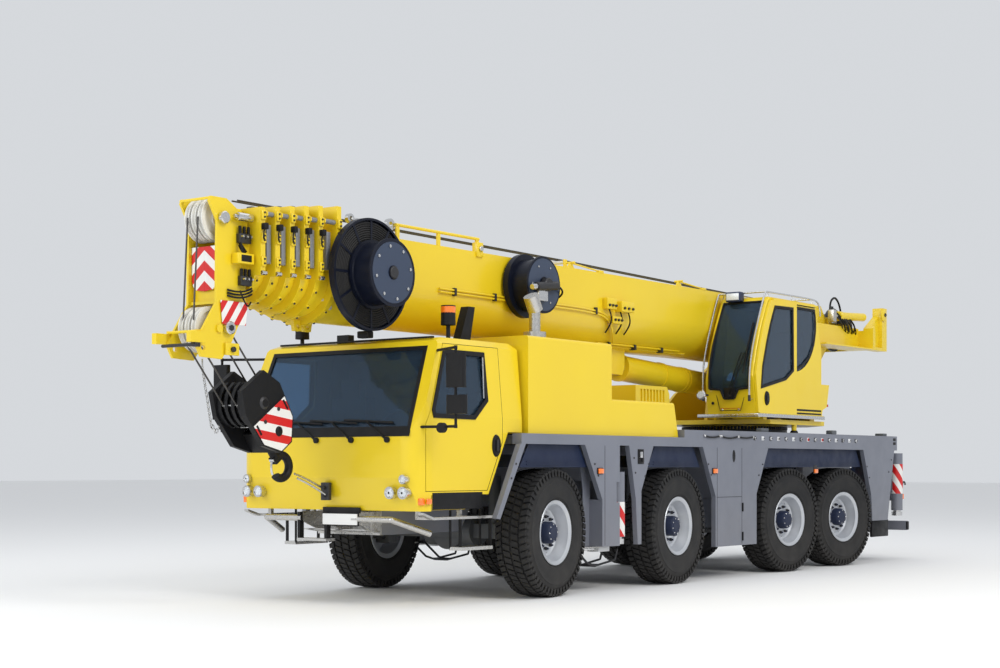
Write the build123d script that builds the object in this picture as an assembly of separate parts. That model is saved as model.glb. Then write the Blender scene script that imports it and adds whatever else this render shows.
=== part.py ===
from build123d import *
import math
import os

# Mobile crane: four-axle all-terrain carrier with a telescopic boom.
# Millimetres. +X is the vehicle's left, the front faces -Y, +Z is up, and z = 0 is the ground.
# Places along Y are measured from the first axle, and write_node() moves every piece to the row's origin.

# ---------------------------------------------------------------- driving dimensions
OVERALL_FRONT_Y = -4200.0       # tip of the boom head's guard brackets
OVERALL_REAR_Y = 9600.0         # back of the superstructure's tail frame
MID_Y = (OVERALL_FRONT_Y + OVERALL_REAR_Y) / 2

HALF_WIDTH = 1375.0
AXLE_Z = 690.0
AXLE_1_Y = 0.0
AXLE_2_Y = 2565.0
AXLE_3_Y = 5491.0
AXLE_4_Y = 7155.0
STEER_1 = 6.45                  # degrees that each axle stands turned to the left
STEER_2 = 3.11
STEER_3 = -6.52
STEER_4 = -9.36

RUN_GAP = 5.0                   # clearance between parts that move past each other
SEAT_GAP = 0.3                  # clearance between parts of different bodies that are seated

TYRE_R = 690.0
TYRE_W = 386.0
TYRE_BEAD_R = 318.0
RIM_FLANGE_R = 352.0
RIM_BARREL_R = 300.0
RIM_HALF_W = 168.0
KINGPIN_INSET = 82.0            # from the wheel's middle plane in to the kingpin
KINGPIN_R = 38.0
HUB_R = 128.0
BEAM_HALF_W = 95.0
BEAM_HALF_H = 80.0
FORK_T = 46.0
SHAFT_R = 48.0
STRUT_R = 62.0
STRUT_X = 545.0

FRAME_WALL = 18.0
FRAME_HALF_W = 430.0            # the carrier's main box
FRAME_BOTTOM = 960.0
FRAME_TOP = 1645.0
FRAME_FRONT_Y = -400.0            # the full-height box starts behind the driver's cab
CHASSIS_NOSE_Y = -1750.0         # the low box under the cab starts here
CHASSIS_NOSE_BOTTOM = 700.0
FRAME_REAR_Y = 8780.0
DECK_TOP = 1850.0
DECK_T = 25.0
DECK_FRONT_Y = 2690.0
DECK_REAR_Y = 8900.0
DECK_STEP = 6.0                 # the deck's front sheet, under the cooler, lies this much lower
RAIL_BOTTOM = 1640.0            # grey side rail under the covers
RAIL_TOP = 1750.0
RAIL_W = 120.0
RAIL_FRONT_Y = -620.0
PEDESTAL_R = 720.0
SLEW_Y = 6400.0
PEDESTAL_TOP = 1915.0

PANEL_T = 60.0
GUARD_TOP = RAIL_BOTTOM
GUARD_SKIRT = 1393.0            # lower edge of the skirts, just over the tyres
GUARD_DROP = 110.0              # from the skirt's top down to the lid
GUARD_SLOPE = 125.0
GUARD_SEAT = 12.0               # from the panels' inner face in to the skirt
GUARD_DEPTH = 615.0
GUARD_T = 8.0
ARCHES = [
    # start and end of each wheel arch along Y
    (-564, 700),
    (1965, 3170),
    (4707, 7782),
]

OUTRIGGER_FRONT_Y = 1358.0
OUTRIGGER_REAR_Y = 9120.0
BEAM_W = 145.0                  # outrigger beam, along Y
BEAM_H = 215.0
BEAM_Z = 1110.0
BEAM_SPLIT = 14.0               # between the left and the right beam
TUNNEL_WALL = 15.0
TUNNEL_END_X = HALF_WIDTH - 225.0
BEAM_INNER_X = HALF_WIDTH - 255.0
JACK_X = HALF_WIDTH - 99.0
JACK_SLEEVE_R = 86.0
JACK_ROD_R = 58.0
FRONT_JACK_BOTTOM = 540.0
FRONT_JACK_TOP = 1340.0
REAR_JACK_BOTTOM = 680.0
REAR_JACK_TOP = 1600.0

CAB_HALF_W = 1250.0
CAB_TUMBLE = 65.0                # each side leans in by this up to the roof
CAB_ROOF_HALF_W = CAB_HALF_W - CAB_TUMBLE
CAB_FRONT_Y = -2156.0
CAB_REAR_Y = -445.0
CAB_FLOOR_Z = 960.0
CAB_ARCH_LOW_Y = -1110.0         # the cab's tail slopes up over the front wheel
CAB_ARCH_TOP_Y = -690.0
CAB_ARCH_TOP_Z = 1760.0
CAB_WAIST_Z = 1690.0
CAB_ROOF_Z = 2700.0
CAB_ROOF_FRONT_Y = -1760.0
CAB_WALL = 50.0
CAB_CORNER_R = 240.0
SCREEN_INSET = 130.0            # from the cab's sides in to the windscreen
SCREEN_TOP = 2600.0
MIRROR_Y = -2025.0
MIRROR_REACH = 365.0            # from the cab's side out to the mirrors' post
MIRROR_LOW_Z = 1790.0
MIRROR_HIGH_Z = 2556.0
MIRROR_TUBE_R = 14.0
RECESS_X = 1010.0               # step recess under each cab door, cut in from the side
RECESS_FRONT_Y = -1950.0
RECESS_REAR_Y = -940.0
RECESS_TOP = 1118.0
SILL_REAR_Y = -820.0
LADDER_FRONT_Y = -1440.0
LADDER_REAR_Y = -945.0
LADDER_Z = 552.0
STEP_X0 = -395.0
STEP_X1 = 15.0
STEP_Z = 640.0
GUARD_TUBE_X0 = 350.0
GUARD_TUBE_X1 = 860.0
GUARD_TUBE_END = (1030.0, -1700.0, 725.0)
SILL_HANGER_X = 1000.0
SILL_HANGER_YS = (-1900.0, -1240.0)
SILL_Z = 872.0
SILL_T = 26.0
GUARD_TUBE_Z = 872.0
GUARD_TUBE_R = 32.0
DOOR_FRONT_Y = -2010.0
DOOR_REAR_Y = -790.0
DOOR_BOTTOM = 1160.0
DOOR_TOP = 2630.0
DOOR_GAP = 6.0
GLASS_T = 10.0

COVER_HALF_W = 1300.0
COVER_FRONT_Y = -400.0
COVER_STEP_Y = 1210.0
COVER_REAR_Y = 2670.0
COVER_BOTTOM = RAIL_TOP
COVER_TALL = 2790.0
COVER_LOW = 2165.0
COVER_WALL = 40.0
COVER_EDGE_R = 34.0
COOLER_FRONT_Y = 2790.0
COOLER_REAR_Y = 3590.0
COOLER_X0 = -150.0
COOLER_X1 = 620.0
COOLER_TOP = 2410.0
COOLER_LOUVRES = 8

EXHAUST_INSET = 240.0           # from the cover's side in to the pipe
EXHAUST_BACK = 450.0            # from the cover's front back to the pipe
EXHAUST_RISE = 330.0
EXHAUST_R = 62.0

BOOM_HALF_W = 450.0
BOOM_MID_Z = 3305.0             # centre of the rounded lower half
BOOM_HEIGHT_UP = 450.0          # from that centre to the flat top
NEST_STEP = 40.0                # each telescope is smaller all round by this
BOOM_WALL = 9.0
BOOM_FRONT_Y = -2460.0
BOOM_REAR_Y = 7400.0
TELE_COUNT = 6
COLLAR_PITCH = 165.0
COLLAR_T = 62.0
PAD_GAP = 0.5
JIB_RAIL_FRONT_Y = -1535.0
JIB_RAIL_REAR_Y = -133.0
JIB_RAIL_RISE = 145.0
JIB_HOOK_YS = (1651.0, 4135.0)
PIVOT_Y = 7750.0
PIVOT_Z = 3200.0
PIVOT_R = 75.0
PIVOT_BOSS_R = 150.0
PIVOT_BOSS_T = 22.0

LUFF_TOP_Y = 3150.0
LUFF_TOP_Z = 2681.0
LUFF_BASE_Y = 6100.0
LUFF_BASE_Z = 2504.0
LUFF_TUBE_R = 165.0
LUFF_ROD_R = 105.0
LUFF_EYE_R = 107.0
LUFF_PIN_R = 50.0
LUFF_EYE_HALF_W = 80.0
LUFF_NECK = 184.0               # from the eye down to the rod's full thickness

HEAD_Y = -3760.0
HEAD_HALF_W = 205.0
HEAD_TOP_SHEAVE_Y = -3720.0
HEAD_TOP_SHEAVE_Z = 3725.0
HEAD_LOW_SHEAVE_Y = -3800.0
HEAD_LOW_SHEAVE_Z = 2690.0
HEAD_PIN_R = 38.0
SHEAVE_R = 212.0

SIDE_PLATE_X = BOOM_HALF_W + RUN_GAP    # superstructure's side plates
SIDE_PLATE_T = 40.0

CHEEK_REAR_Y = 9100.0
TAIL_HALF_W = 900.0
TAIL_BOTTOM = 3180.0
TAIL_TOP = 3840.0
TAIL_REAR_Y = OVERALL_REAR_Y

CREW_X0 = SIDE_PLATE_X + SIDE_PLATE_T + RUN_GAP     # crane cab, inner side
CREW_X1 = 1212.0                # outer side; the sliding door stands outside this wall
CREW_DOOR_X = CREW_X1 + 38.0
CREW_NOSE_Y = 4706.0            # the windscreen's most forward point
CREW_NOSE_Z = 2600.0
CREW_ROOF_FRONT_Y = 5140.0
CREW_ROOF_REAR_Y = 6489.0
CREW_REAR_Y = 6698.0
CREW_TAIL_Y = 6944.0            # back of the equipment hump behind the driver
CREW_POST_Y = 5876.0            # the sliding door's rear edge
CREW_FLOOR = 2070.0
CREW_ROOF = 3650.0
CREW_WALL = 40.0
CREW_CORNER_R = 30.0
SCREEN_FRAME = 62.0             # posts beside the crane cab's windscreen
CREW_DOOR_BOTTOM = 2106.0
CREW_DOOR_TOP = 3604.0

LAMP_BOARD_Y = 9330.0
TOW_BORE_R = 20.0
TOW_BORE_Y = 9450.0
TOW_JAW_HALF_W = 80.0
TOW_PLATE_T = 30.0
TOW_PLATE_ZS = (1110.0, 1240.0)
TAIL_BEAM_REAR_Y = 9360.0       # rear face of the towing cross member
UNDERRUN_FRONT_Y = 9420.0
UNDERRUN_HALF_W = 1290.0
UNDERRUN_BOTTOM = 430.0
UNDERRUN_TOP = 570.0
UNDERRUN_ARM_Y = 9230.0
CARRIER_REAR_Y = 9500.0
JIB_BORE_R = 25.0
JIB_BORE_Y = -3995.0
JIB_BORE_Z = 2500.0
JACK_FOOT_DROP = 20.0           # the foot stands this far below its sleeve
HOOK_EYE_Y = 10.0               # centre of the hook's throat, from the block's pin
HOOK_EYE_Z = -760.0
ROPE_R = 9.0
GROOVE_HALF_W = 20.0
GROOVE_DEPTH = 30.0
SHEAVE_HALF_T = 30.0
SHEAVE_XS = (-88.0, 0.0, 88.0)
FALL_XS = (-88.0, 88.0)         # grooves that carry rope

OUT = "parts"
os.makedirs(OUT, exist_ok=True)


# ---------------------------------------------------------------- helpers
def block(x0, x1, y0, y1, z0, z1):
    """A box between two corners."""
    size = Box(x1 - x0, y1 - y0, z1 - z0)
    return Pos((x0 + x1) / 2, (y0 + y1) / 2, (z0 + z1) / 2) * size


def rod_x(radius, x0, x1, y, z):
    """A cylinder along X."""
    return Pos((x0 + x1) / 2, y, z) * Rot(0, 90, 0) * Cylinder(radius, abs(x1 - x0))


def rod_y(radius, y0, y1, x, z):
    """A cylinder along Y."""
    return Pos(x, (y0 + y1) / 2, z) * Rot(90, 0, 0) * Cylinder(radius, abs(y1 - y0))


def rod_z(radius, z0, z1, x, y):
    """A cylinder along Z."""
    return Pos(x, y, (z0 + z1) / 2) * Cylinder(radius, abs(z1 - z0))


def side_plate(points, x0, x1):
    """A prism whose outline lies in the side view: (y, z) points, from x0 to x1."""
    face = Plane.YZ.offset(x0) * make_face(Polyline(*points, close=True))
    return extrude(face, x1 - x0)


def front_plate(points, y0, y1):
    """A prism whose outline lies in the front view: (x, z) points, from y0 to y1."""
    face = Plane.XZ.offset(-y0) * make_face(Polyline(*points, close=True))
    return extrude(face, -(y1 - y0))


def floor_plate(points, z0, z1):
    """A prism whose outline lies in plan: (x, y) points, from z0 to z1."""
    face = Plane.XY.offset(z0) * make_face(Polyline(*points, close=True))
    return extrude(face, z1 - z0)


def mirrored(shape):
    """The same piece on the vehicle's other side."""
    return mirror(shape, about=Plane.YZ)


def both(shape):
    """A piece and its mirror image, fused or side by side."""
    return shape + mirrored(shape)


def write_node(name, shape):
    """Writes one node, moved to the row's origin, as solids of one compound."""
    moved = Pos(0, -MID_Y, 0) * shape
    solids = moved.solids()
    export_step(solids[0] if len(solids) == 1 else Compound(children=list(solids)), f"{OUT}/{name}.step")
    print(name, len(solids), "solids")


# ---------------------------------------------------------------- carrier
def outrigger_tunnel(y, end, clearance=0.0):
    """The hollow that both beams of one outrigger run in. The beams ride on its floor."""
    half = BEAM_W + BEAM_SPLIT / 2 + RUN_GAP + clearance
    low = BEAM_Z - BEAM_H / 2 - SEAT_GAP - clearance
    high = BEAM_Z + BEAM_H / 2 + RUN_GAP + clearance
    return block(-end, end, y - half, y + half, low, high)


def carrier_frame():
    # main box, and the low box under the driver's cab
    frame = side_plate(
        [
            (CHASSIS_NOSE_Y, CHASSIS_NOSE_BOTTOM), (CHASSIS_NOSE_Y, CAB_FLOOR_Z),
            (FRAME_FRONT_Y, CAB_FLOOR_Z), (FRAME_FRONT_Y, FRAME_TOP), (FRAME_REAR_Y, FRAME_TOP),
            (FRAME_REAR_Y, FRAME_BOTTOM), (FRAME_FRONT_Y + 120, FRAME_BOTTOM),
            (FRAME_FRONT_Y - 60, CHASSIS_NOSE_BOTTOM)],
        -FRAME_HALF_W, FRAME_HALF_W)
    # the main box is hollow and open at its tail, and so is the low box at its nose
    frame -= block(
        -FRAME_HALF_W + FRAME_WALL, FRAME_HALF_W - FRAME_WALL, FRAME_FRONT_Y + 150, FRAME_REAR_Y + 1,
        FRAME_BOTTOM + FRAME_WALL, FRAME_TOP - FRAME_WALL)
    frame -= block(
        -FRAME_HALF_W + FRAME_WALL, FRAME_HALF_W - FRAME_WALL, CHASSIS_NOSE_Y - 1, FRAME_FRONT_Y - 100,
        CHASSIS_NOSE_BOTTOM + FRAME_WALL, CAB_FLOOR_Z - FRAME_WALL)
    # deck with its side rails
    frame += block(-HALF_WIDTH, HALF_WIDTH, DECK_FRONT_Y, DECK_REAR_Y, DECK_TOP - DECK_T, DECK_TOP)
    rail = block(HALF_WIDTH - RAIL_W, HALF_WIDTH, RAIL_FRONT_Y, DECK_REAR_Y, RAIL_BOTTOM, RAIL_TOP)
    rail += block(HALF_WIDTH - RAIL_W, HALF_WIDTH, DECK_FRONT_Y, DECK_REAR_Y, RAIL_BOTTOM, DECK_TOP)
    frame += both(rail)
    frame -= block(
        -HALF_WIDTH - 1, HALF_WIDTH + 1, DECK_FRONT_Y - 1, COOLER_REAR_Y + 20,
        DECK_TOP - DECK_STEP, DECK_TOP + 1)
    # cross members that carry the rails and the covers
    for y in (-380, 1110, 2640, 4200, 6323, 8600):
        frame += block(-HALF_WIDTH + 5, HALF_WIDTH - 5, y - 50, y + 50, RAIL_BOTTOM, RAIL_TOP - 12)
    # slewing pedestal
    frame += rod_z(PEDESTAL_R, FRAME_TOP - 30, PEDESTAL_TOP, 0, SLEW_Y)
    frame -= rod_z(PEDESTAL_R - 90, FRAME_TOP - 60, PEDESTAL_TOP + 1, 0, SLEW_Y)
    for x in (-FRAME_HALF_W + 15, FRAME_HALF_W - 15):
        web = block(x - 15, x + 15, SLEW_Y - 1900, FRAME_REAR_Y, FRAME_TOP - 1, DECK_TOP - 1)
        frame += web - rod_z(PEDESTAL_R - 45, FRAME_TOP - 2, DECK_TOP, 0, SLEW_Y)
    # outrigger boxes
    for y in (OUTRIGGER_FRONT_Y, OUTRIGGER_REAR_Y):
        frame += outrigger_tunnel(y, TUNNEL_END_X, TUNNEL_WALL)
    frame += block(
        -FRAME_HALF_W, FRAME_HALF_W, FRAME_REAR_Y - 1, OUTRIGGER_REAR_Y + 170, BEAM_Z + 80, 1560)
    frame += block(-FRAME_HALF_W, FRAME_HALF_W, FRAME_REAR_Y - 1, OUTRIGGER_REAR_Y - 100, 960, 1560)
    for y in (OUTRIGGER_FRONT_Y, OUTRIGGER_REAR_Y):
        frame -= outrigger_tunnel(y, TUNNEL_END_X + 1)
    # rear underrun bar with its two arms, and the towing cross member
    low, high = UNDERRUN_BOTTOM + 10, UNDERRUN_TOP - 10
    frame += block(
        -UNDERRUN_HALF_W, UNDERRUN_HALF_W, UNDERRUN_FRONT_Y, CARRIER_REAR_Y, UNDERRUN_BOTTOM, UNDERRUN_TOP)
    arm = block(540, 660, UNDERRUN_ARM_Y, UNDERRUN_FRONT_Y + 5, low, high)
    arm += block(540, 660, UNDERRUN_ARM_Y, UNDERRUN_ARM_Y + 80, low, 990)
    frame += both(arm)
    frame += block(-560, 560, OUTRIGGER_REAR_Y + 160, TAIL_BEAM_REAR_Y, 1000, 1380)
    frame += both(block(559, 1270, LAMP_BOARD_Y - 30, LAMP_BOARD_Y, 880, 1080))
    # towing jaw: two plates with the pin's bore through both
    for z in TOW_PLATE_ZS:
        plate = block(
            -TOW_JAW_HALF_W, TOW_JAW_HALF_W, TAIL_BEAM_REAR_Y - 1, CARRIER_REAR_Y, z, z + TOW_PLATE_T)
        frame += plate - rod_z(TOW_BORE_R, z - 10, z + TOW_PLATE_T + 10, 0, TOW_BORE_Y)
    return frame


PANEL_LOW = 505.0               # lower edge of the panels by the front outriggers
PANEL_KNEE = 1030.0             # where the panels' sloped edges turn upright
PLATE_X0 = 1190.0               # recessed plate behind the front wheel
PLATE_T = 10.0
PANEL_OUTLINES = [
    # each panel's corners as (y, z), from the front of the carrier to its tail
    [(560, RAIL_BOTTOM), (905, PANEL_KNEE), (905, PANEL_LOW), (1262, PANEL_LOW), (1262, RAIL_BOTTOM)],
    [
        (1460, RAIL_BOTTOM), (1600, PANEL_KNEE), (1642, PANEL_LOW), (1720, PANEL_LOW), (1720, 1120),
        (1985, RAIL_BOTTOM)],
    [
        (3130, RAIL_BOTTOM), (3440, PANEL_KNEE), (3440, 405), (4500, 405), (4500, 1050),
        (4820, RAIL_BOTTOM)],
    [(7720, RAIL_BOTTOM), (7990, 980), (8025, 610), (8565, 610), (8800, RAIL_BOTTOM)],
]


def side_panels():
    """Grey lower panels between the wheels, on both sides."""
    x0 = HALF_WIDTH - PANEL_T
    panels = Part()
    for outline in PANEL_OUTLINES:
        panels += side_plate(outline, x0, HALF_WIDTH)
    # sloped strut ahead of the front wheel
    panels += side_plate(
        [(-640, RAIL_BOTTOM), (-1055, 872), (-990, 860), (-545, RAIL_BOTTOM)], x0, HALF_WIDTH)
    # returns that carry the panels inwards under the rails
    panels += block(1000, x0 + 1, 3600, 4400, 640, 1000)
    panels += block(1000, x0 + 1, 8100, 8500, 700, 1000)
    # recessed plate between the front wheel and the first panel
    panels += side_plate(
        [(775, PANEL_LOW), (775, 1150), (700, 1500), (915, 1500), (915, PANEL_LOW)],
        PLATE_X0, PLATE_X0 + PLATE_T)
    panels += block(PLATE_X0, x0 + 1, 905, 905 + PLATE_T, PANEL_LOW, PANEL_KNEE + 1)
    panels = both(panels)
    return panels - outrigger_tunnel(OUTRIGGER_FRONT_Y, HALF_WIDTH + 1, RUN_GAP)


def mudguards():
    """Dark covers over the wheels: a flat lid with sloped ends, and a skirt that closes the arch."""
    guards = Part()
    x_in, x_out = HALF_WIDTH - GUARD_DEPTH, HALF_WIDTH - PANEL_T - GUARD_SEAT
    for start, end in ARCHES:
        top = GUARD_TOP - GUARD_DROP
        outline = [
            (start, GUARD_SKIRT), (start + GUARD_SLOPE, top), (end - GUARD_SLOPE, top),
            (end, GUARD_SKIRT)]
        inner = [
            (start + GUARD_T * 1.6, GUARD_SKIRT), (start + GUARD_SLOPE + GUARD_T, top - GUARD_T),
            (end - GUARD_SLOPE - GUARD_T, top - GUARD_T), (end - GUARD_T * 1.6, GUARD_SKIRT)]
        lid = side_plate(outline, x_in, x_out) - side_plate(inner, x_in - 1, x_out + 1)
        skirt = side_plate(
            [
                (start, GUARD_SKIRT), (start + GUARD_SLOPE * 1.3, GUARD_TOP),
                (end - GUARD_SLOPE * 1.3, GUARD_TOP), (end, GUARD_SKIRT)],
            x_out - GUARD_T, x_out)
        # pressed ribs that stiffen the skirt
        for z in (GUARD_SKIRT + 25, GUARD_SKIRT + 55):
            skirt += block(x_out - 1, x_out + 6, start + GUARD_SLOPE, end - GUARD_SLOPE, z, z + 12)
        guards += lid + skirt
    return both(guards)


# ---------------------------------------------------------------- wheels and axles
WHEELS = [
    # axle number, y, rest steering angle
    (1, AXLE_1_Y, STEER_1),
    (2, AXLE_2_Y, STEER_2),
    (3, AXLE_3_Y, STEER_3),
    (4, AXLE_4_Y, STEER_4),
]
KINGPIN_X = HALF_WIDTH - TYRE_W / 2 - KINGPIN_INSET


def placed(shape, side, y, steer):
    """From a piece drawn about a left kingpin to its place on one side, turned by its steering angle."""
    if side < 0:
        shape = mirrored(shape)
    return Pos(side * KINGPIN_X, y, AXLE_Z) * Rot(0, 0, steer) * shape


def wheel_profile_solid(points):
    """Turns an (x, r) outline about the wheel's own axis, X."""
    face = make_face(Polyline(*points, close=True))
    return revolve(Plane.XY * face, Axis.X, 360)


def tyre():
    half = TYRE_W / 2
    mid = KINGPIN_INSET
    outline = [
        (mid - 150, TYRE_BEAD_R), (mid - 168, RIM_FLANGE_R + 4), (mid - half, 500),
        (mid - half + 12, 600), (mid - half + 34, TYRE_R - 12), (mid - 120, TYRE_R), (mid + 120, TYRE_R),
        (mid + half - 34, TYRE_R - 12), (mid + half - 12, 600), (mid + half, 500),
        (mid + 168, RIM_FLANGE_R + 4), (mid + 150, TYRE_BEAD_R)]
    return wheel_profile_solid(outline)


def rim():
    mid = KINGPIN_INSET
    bead = TYRE_BEAD_R - SEAT_GAP
    outline = [
        (mid - RIM_HALF_W, RIM_BARREL_R), (mid - RIM_HALF_W - 12, RIM_FLANGE_R - 4),
        (mid - RIM_HALF_W - 2, RIM_FLANGE_R), (mid - RIM_HALF_W + 14, bead),
        (mid + RIM_HALF_W - 14, bead), (mid + RIM_HALF_W + 2, RIM_FLANGE_R),
        (mid + RIM_HALF_W + 12, RIM_FLANGE_R - 4), (mid + RIM_HALF_W, RIM_BARREL_R), (mid + 110, 286),
        (mid + 70, 250), (mid + 66, HUB_R + 6), (mid + 90, HUB_R), (mid + 150, HUB_R - 10),
        (mid + 150, 0), (mid + 20, 0), (mid + 20, HUB_R), (mid + 48, HUB_R + 14), (mid + 50, 244),
        (mid + 60, 286), (mid + 40, RIM_BARREL_R - 12)]
    return wheel_profile_solid(outline)


def knuckle():
    body = rod_x(100, 40, KINGPIN_INSET + 20 - SEAT_GAP, 0, 0)
    body += block(-62, 62, -78, 78, -120, 120)
    # steering arm, which stays inside the rim's barrel
    body += block(-62, -20, 70, 245, -92, -52)
    body -= rod_z(KINGPIN_R + SEAT_GAP, -200, 200, 0, 0)
    return body


def axle_beams():
    """Driven axle beams, each with forks that hold the kingpins, and its suspension struts."""
    beams = Part()
    for number, y, steer in WHEELS:
        reach = KINGPIN_X - 174
        beam = block(
            -reach, reach, y - BEAM_HALF_W, y + BEAM_HALF_W, AXLE_Z - BEAM_HALF_H, AXLE_Z + BEAM_HALF_H)
        beam += Pos(0, y, AXLE_Z) * Rot(90, 0, 0) * Cylinder(210, 300)
        beam += rod_x(170, -330, 330, y, AXLE_Z)
        fork = block(KINGPIN_X - 175, KINGPIN_X - 128, y - 70, y + 70, AXLE_Z - 170, AXLE_Z + 170)
        for z in (AXLE_Z + 125, AXLE_Z - 125 - FORK_T):
            fork += block(KINGPIN_X - 130, KINGPIN_X, y - 60, y + 60, z, z + FORK_T)
            fork += rod_z(60, z, z + FORK_T, KINGPIN_X, y)
        fork += rod_z(KINGPIN_R, AXLE_Z - 165, AXLE_Z + 165, KINGPIN_X, y)
        beam += both(fork)
        for side in (-1, 1):
            beam += rod_z(STRUT_R, AXLE_Z, 1300, side * STRUT_X, y)
            beam += rod_z(STRUT_R + 16, 1000, 1300, side * STRUT_X, y)
        beams += beam
    # propeller shafts between the axles, and the transfer case between the second and the third
    for start, end in zip(WHEELS[:-1], WHEELS[1:]):
        beams += rod_y(SHAFT_R, start[1] + 140, end[1] - 140, 0, AXLE_Z)
    case_y = (AXLE_2_Y + AXLE_3_Y) / 2
    beams += block(-190, 190, case_y - 160, case_y + 160, AXLE_Z - 90, FRAME_BOTTOM - SEAT_GAP)
    return beams


def strut_towers():
    """Brackets on the frame that hold the suspension struts' tops."""
    towers = Part()
    for number, y, steer in WHEELS:
        tower = block(FRAME_HALF_W - 1, STRUT_X + 95, y - 110, y + 110, 1300, 1420)
        towers += both(tower)
    return towers


# ---------------------------------------------------------------- outriggers
def outrigger_beam(side, y):
    offset = -1 if side > 0 else 1
    mid = y + offset * (BEAM_W + BEAM_SPLIT) / 2
    x_in, x_out = -BEAM_INNER_X, TUNNEL_END_X + RUN_GAP
    beam = block(
        x_in, x_out, mid - BEAM_W / 2, mid + BEAM_W / 2, BEAM_Z - BEAM_H / 2, BEAM_Z + BEAM_H / 2)
    beam += block(x_out - 1, x_out + 24, y - 150, y + 150, BEAM_Z - BEAM_H / 2, BEAM_Z + BEAM_H / 2)
    bottom = FRONT_JACK_BOTTOM if y == OUTRIGGER_FRONT_Y else REAR_JACK_BOTTOM
    top = FRONT_JACK_TOP if y == OUTRIGGER_FRONT_Y else REAR_JACK_TOP
    sleeve = rod_z(JACK_SLEEVE_R, bottom + 60, top, JACK_X, y)
    collar = block(x_out, JACK_X, y - 80, y + 80, BEAM_Z - 100, BEAM_Z + 100)
    beam += collar + sleeve
    beam -= rod_z(JACK_ROD_R + SEAT_GAP, bottom, top - 40, JACK_X, y)
    beam = beam if side > 0 else mirrored(beam)
    return beam


def outrigger_jack(side, y):
    bottom = FRONT_JACK_BOTTOM if y == OUTRIGGER_FRONT_Y else REAR_JACK_BOTTOM
    top = FRONT_JACK_TOP if y == OUTRIGGER_FRONT_Y else REAR_JACK_TOP
    jack = rod_z(JACK_ROD_R, bottom + 30, top - 50, JACK_X, y)
    jack += rod_z(80, bottom - JACK_FOOT_DROP, bottom + 40, JACK_X, y)
    jack = jack if side > 0 else mirrored(jack)
    return jack


# ---------------------------------------------------------------- driver's cab
def cab_hull(inset):
    """The cab's outer form, made smaller by inset: three outlines that cut each other."""
    front, rear = CAB_FRONT_Y + inset, CAB_REAR_Y - inset
    bottom, roof = CAB_FLOOR_Z + inset, CAB_ROOF_Z - inset
    side = side_plate(
        [
            (front + 90, bottom), (front, bottom + 330), (front, CAB_WAIST_Z),
            (CAB_ROOF_FRONT_Y + inset, roof - 40), (CAB_ROOF_FRONT_Y + inset + 120, roof),
            (rear - 60, roof), (rear, roof - 60), (rear, CAB_ARCH_TOP_Z + inset),
            (CAB_ARCH_TOP_Y - inset, CAB_ARCH_TOP_Z + inset), (CAB_ARCH_LOW_Y - inset, bottom)],
        -CAB_HALF_W - 10, CAB_HALF_W + 10)
    half, top = CAB_HALF_W - inset, CAB_ROOF_HALF_W - inset
    across = front_plate(
        [
            (-half, bottom - 5), (half, bottom - 5), (half, 1900), (top, roof - 70), (top - 80, roof + 5),
            (-top + 80, roof + 5), (-top, roof - 70), (-half, 1900)],
        CAB_FRONT_Y - 10, CAB_REAR_Y + 10)
    plan_face = make_face(
        Polyline((-half, rear + 5), (half, rear + 5), (half, front), (-half, front), close=True))
    plan = extrude(Plane.XY.offset(bottom - 5) * plan_face, roof - bottom + 10)
    corners = plan.edges().filter_by(Axis.Z).sort_by(Axis.Y)[:2]
    plan = fillet(corners, CAB_CORNER_R - inset)
    return side & across & plan


def door_outline(grow):
    g = grow
    return [
        (DOOR_FRONT_Y - g, DOOR_BOTTOM - g), (-1050 + g, DOOR_BOTTOM - g), (DOOR_REAR_Y + g, 1660 - g),
        (DOOR_REAR_Y + g, DOOR_TOP + g), (-1690 - g, DOOR_TOP + g), (DOOR_FRONT_Y - g, CAB_WAIST_Z + 130)]


def side_window(x0, x1):
    outline = [(-1920, 1882), (-1253, 1878), (-1018, 2073), (-1030, 2575), (-1700, 2575)]
    return side_plate(outline, x0, x1)


def windscreen_cut(y0, y1):
    low, high = CAB_HALF_W - SCREEN_INSET, CAB_ROOF_HALF_W - SCREEN_INSET + 5
    return front_plate(
        [(-low, CAB_WAIST_Z + 20), (low, CAB_WAIST_Z + 20), (high, SCREEN_TOP), (-high, SCREEN_TOP)], y0,
        y1)


def driver_cab():
    recess = block(RECESS_X, CAB_HALF_W + 50, RECESS_FRONT_Y, RECESS_REAR_Y, CAB_FLOOR_Z - 10, RECESS_TOP)
    lining = block(
        RECESS_X - 25, CAB_HALF_W + 50, RECESS_FRONT_Y - 25, RECESS_REAR_Y + 25, CAB_FLOOR_Z - 10,
        RECESS_TOP + 25)
    shell = cab_hull(0) - both(recess) - (cab_hull(CAB_WALL) - both(lining))
    shell -= windscreen_cut(CAB_FRONT_Y - 50, -1650)
    # the doorways leave the frame rails behind the doors
    doorway = side_plate(door_outline(DOOR_GAP), CAB_ROOF_HALF_W - 120, CAB_HALF_W + 50)
    return shell - both(doorway)


def cab_door(side):
    skin = cab_hull(0) - cab_hull(CAB_WALL)
    door = skin & side_plate(door_outline(0), CAB_ROOF_HALF_W - 120, CAB_HALF_W + 50)
    door -= side_window(900, 1400)
    glass_zone = side_window(900, 1400)
    pane = (cab_hull(18) - cab_hull(18 + GLASS_T)) & glass_zone
    pane = pane & block(1000, 1300, -3000, 0, 0, 3000)
    door += pane
    handle = block(CAB_HALF_W - 5, CAB_HALF_W + 12, -935, -865, 1530, 1700)
    door += handle
    return door if side > 0 else mirrored(door)


def cab_glass():
    pane = (cab_hull(8) - cab_hull(8 + GLASS_T)) & windscreen_cut(CAB_FRONT_Y - 50, -1650)
    return pane


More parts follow.
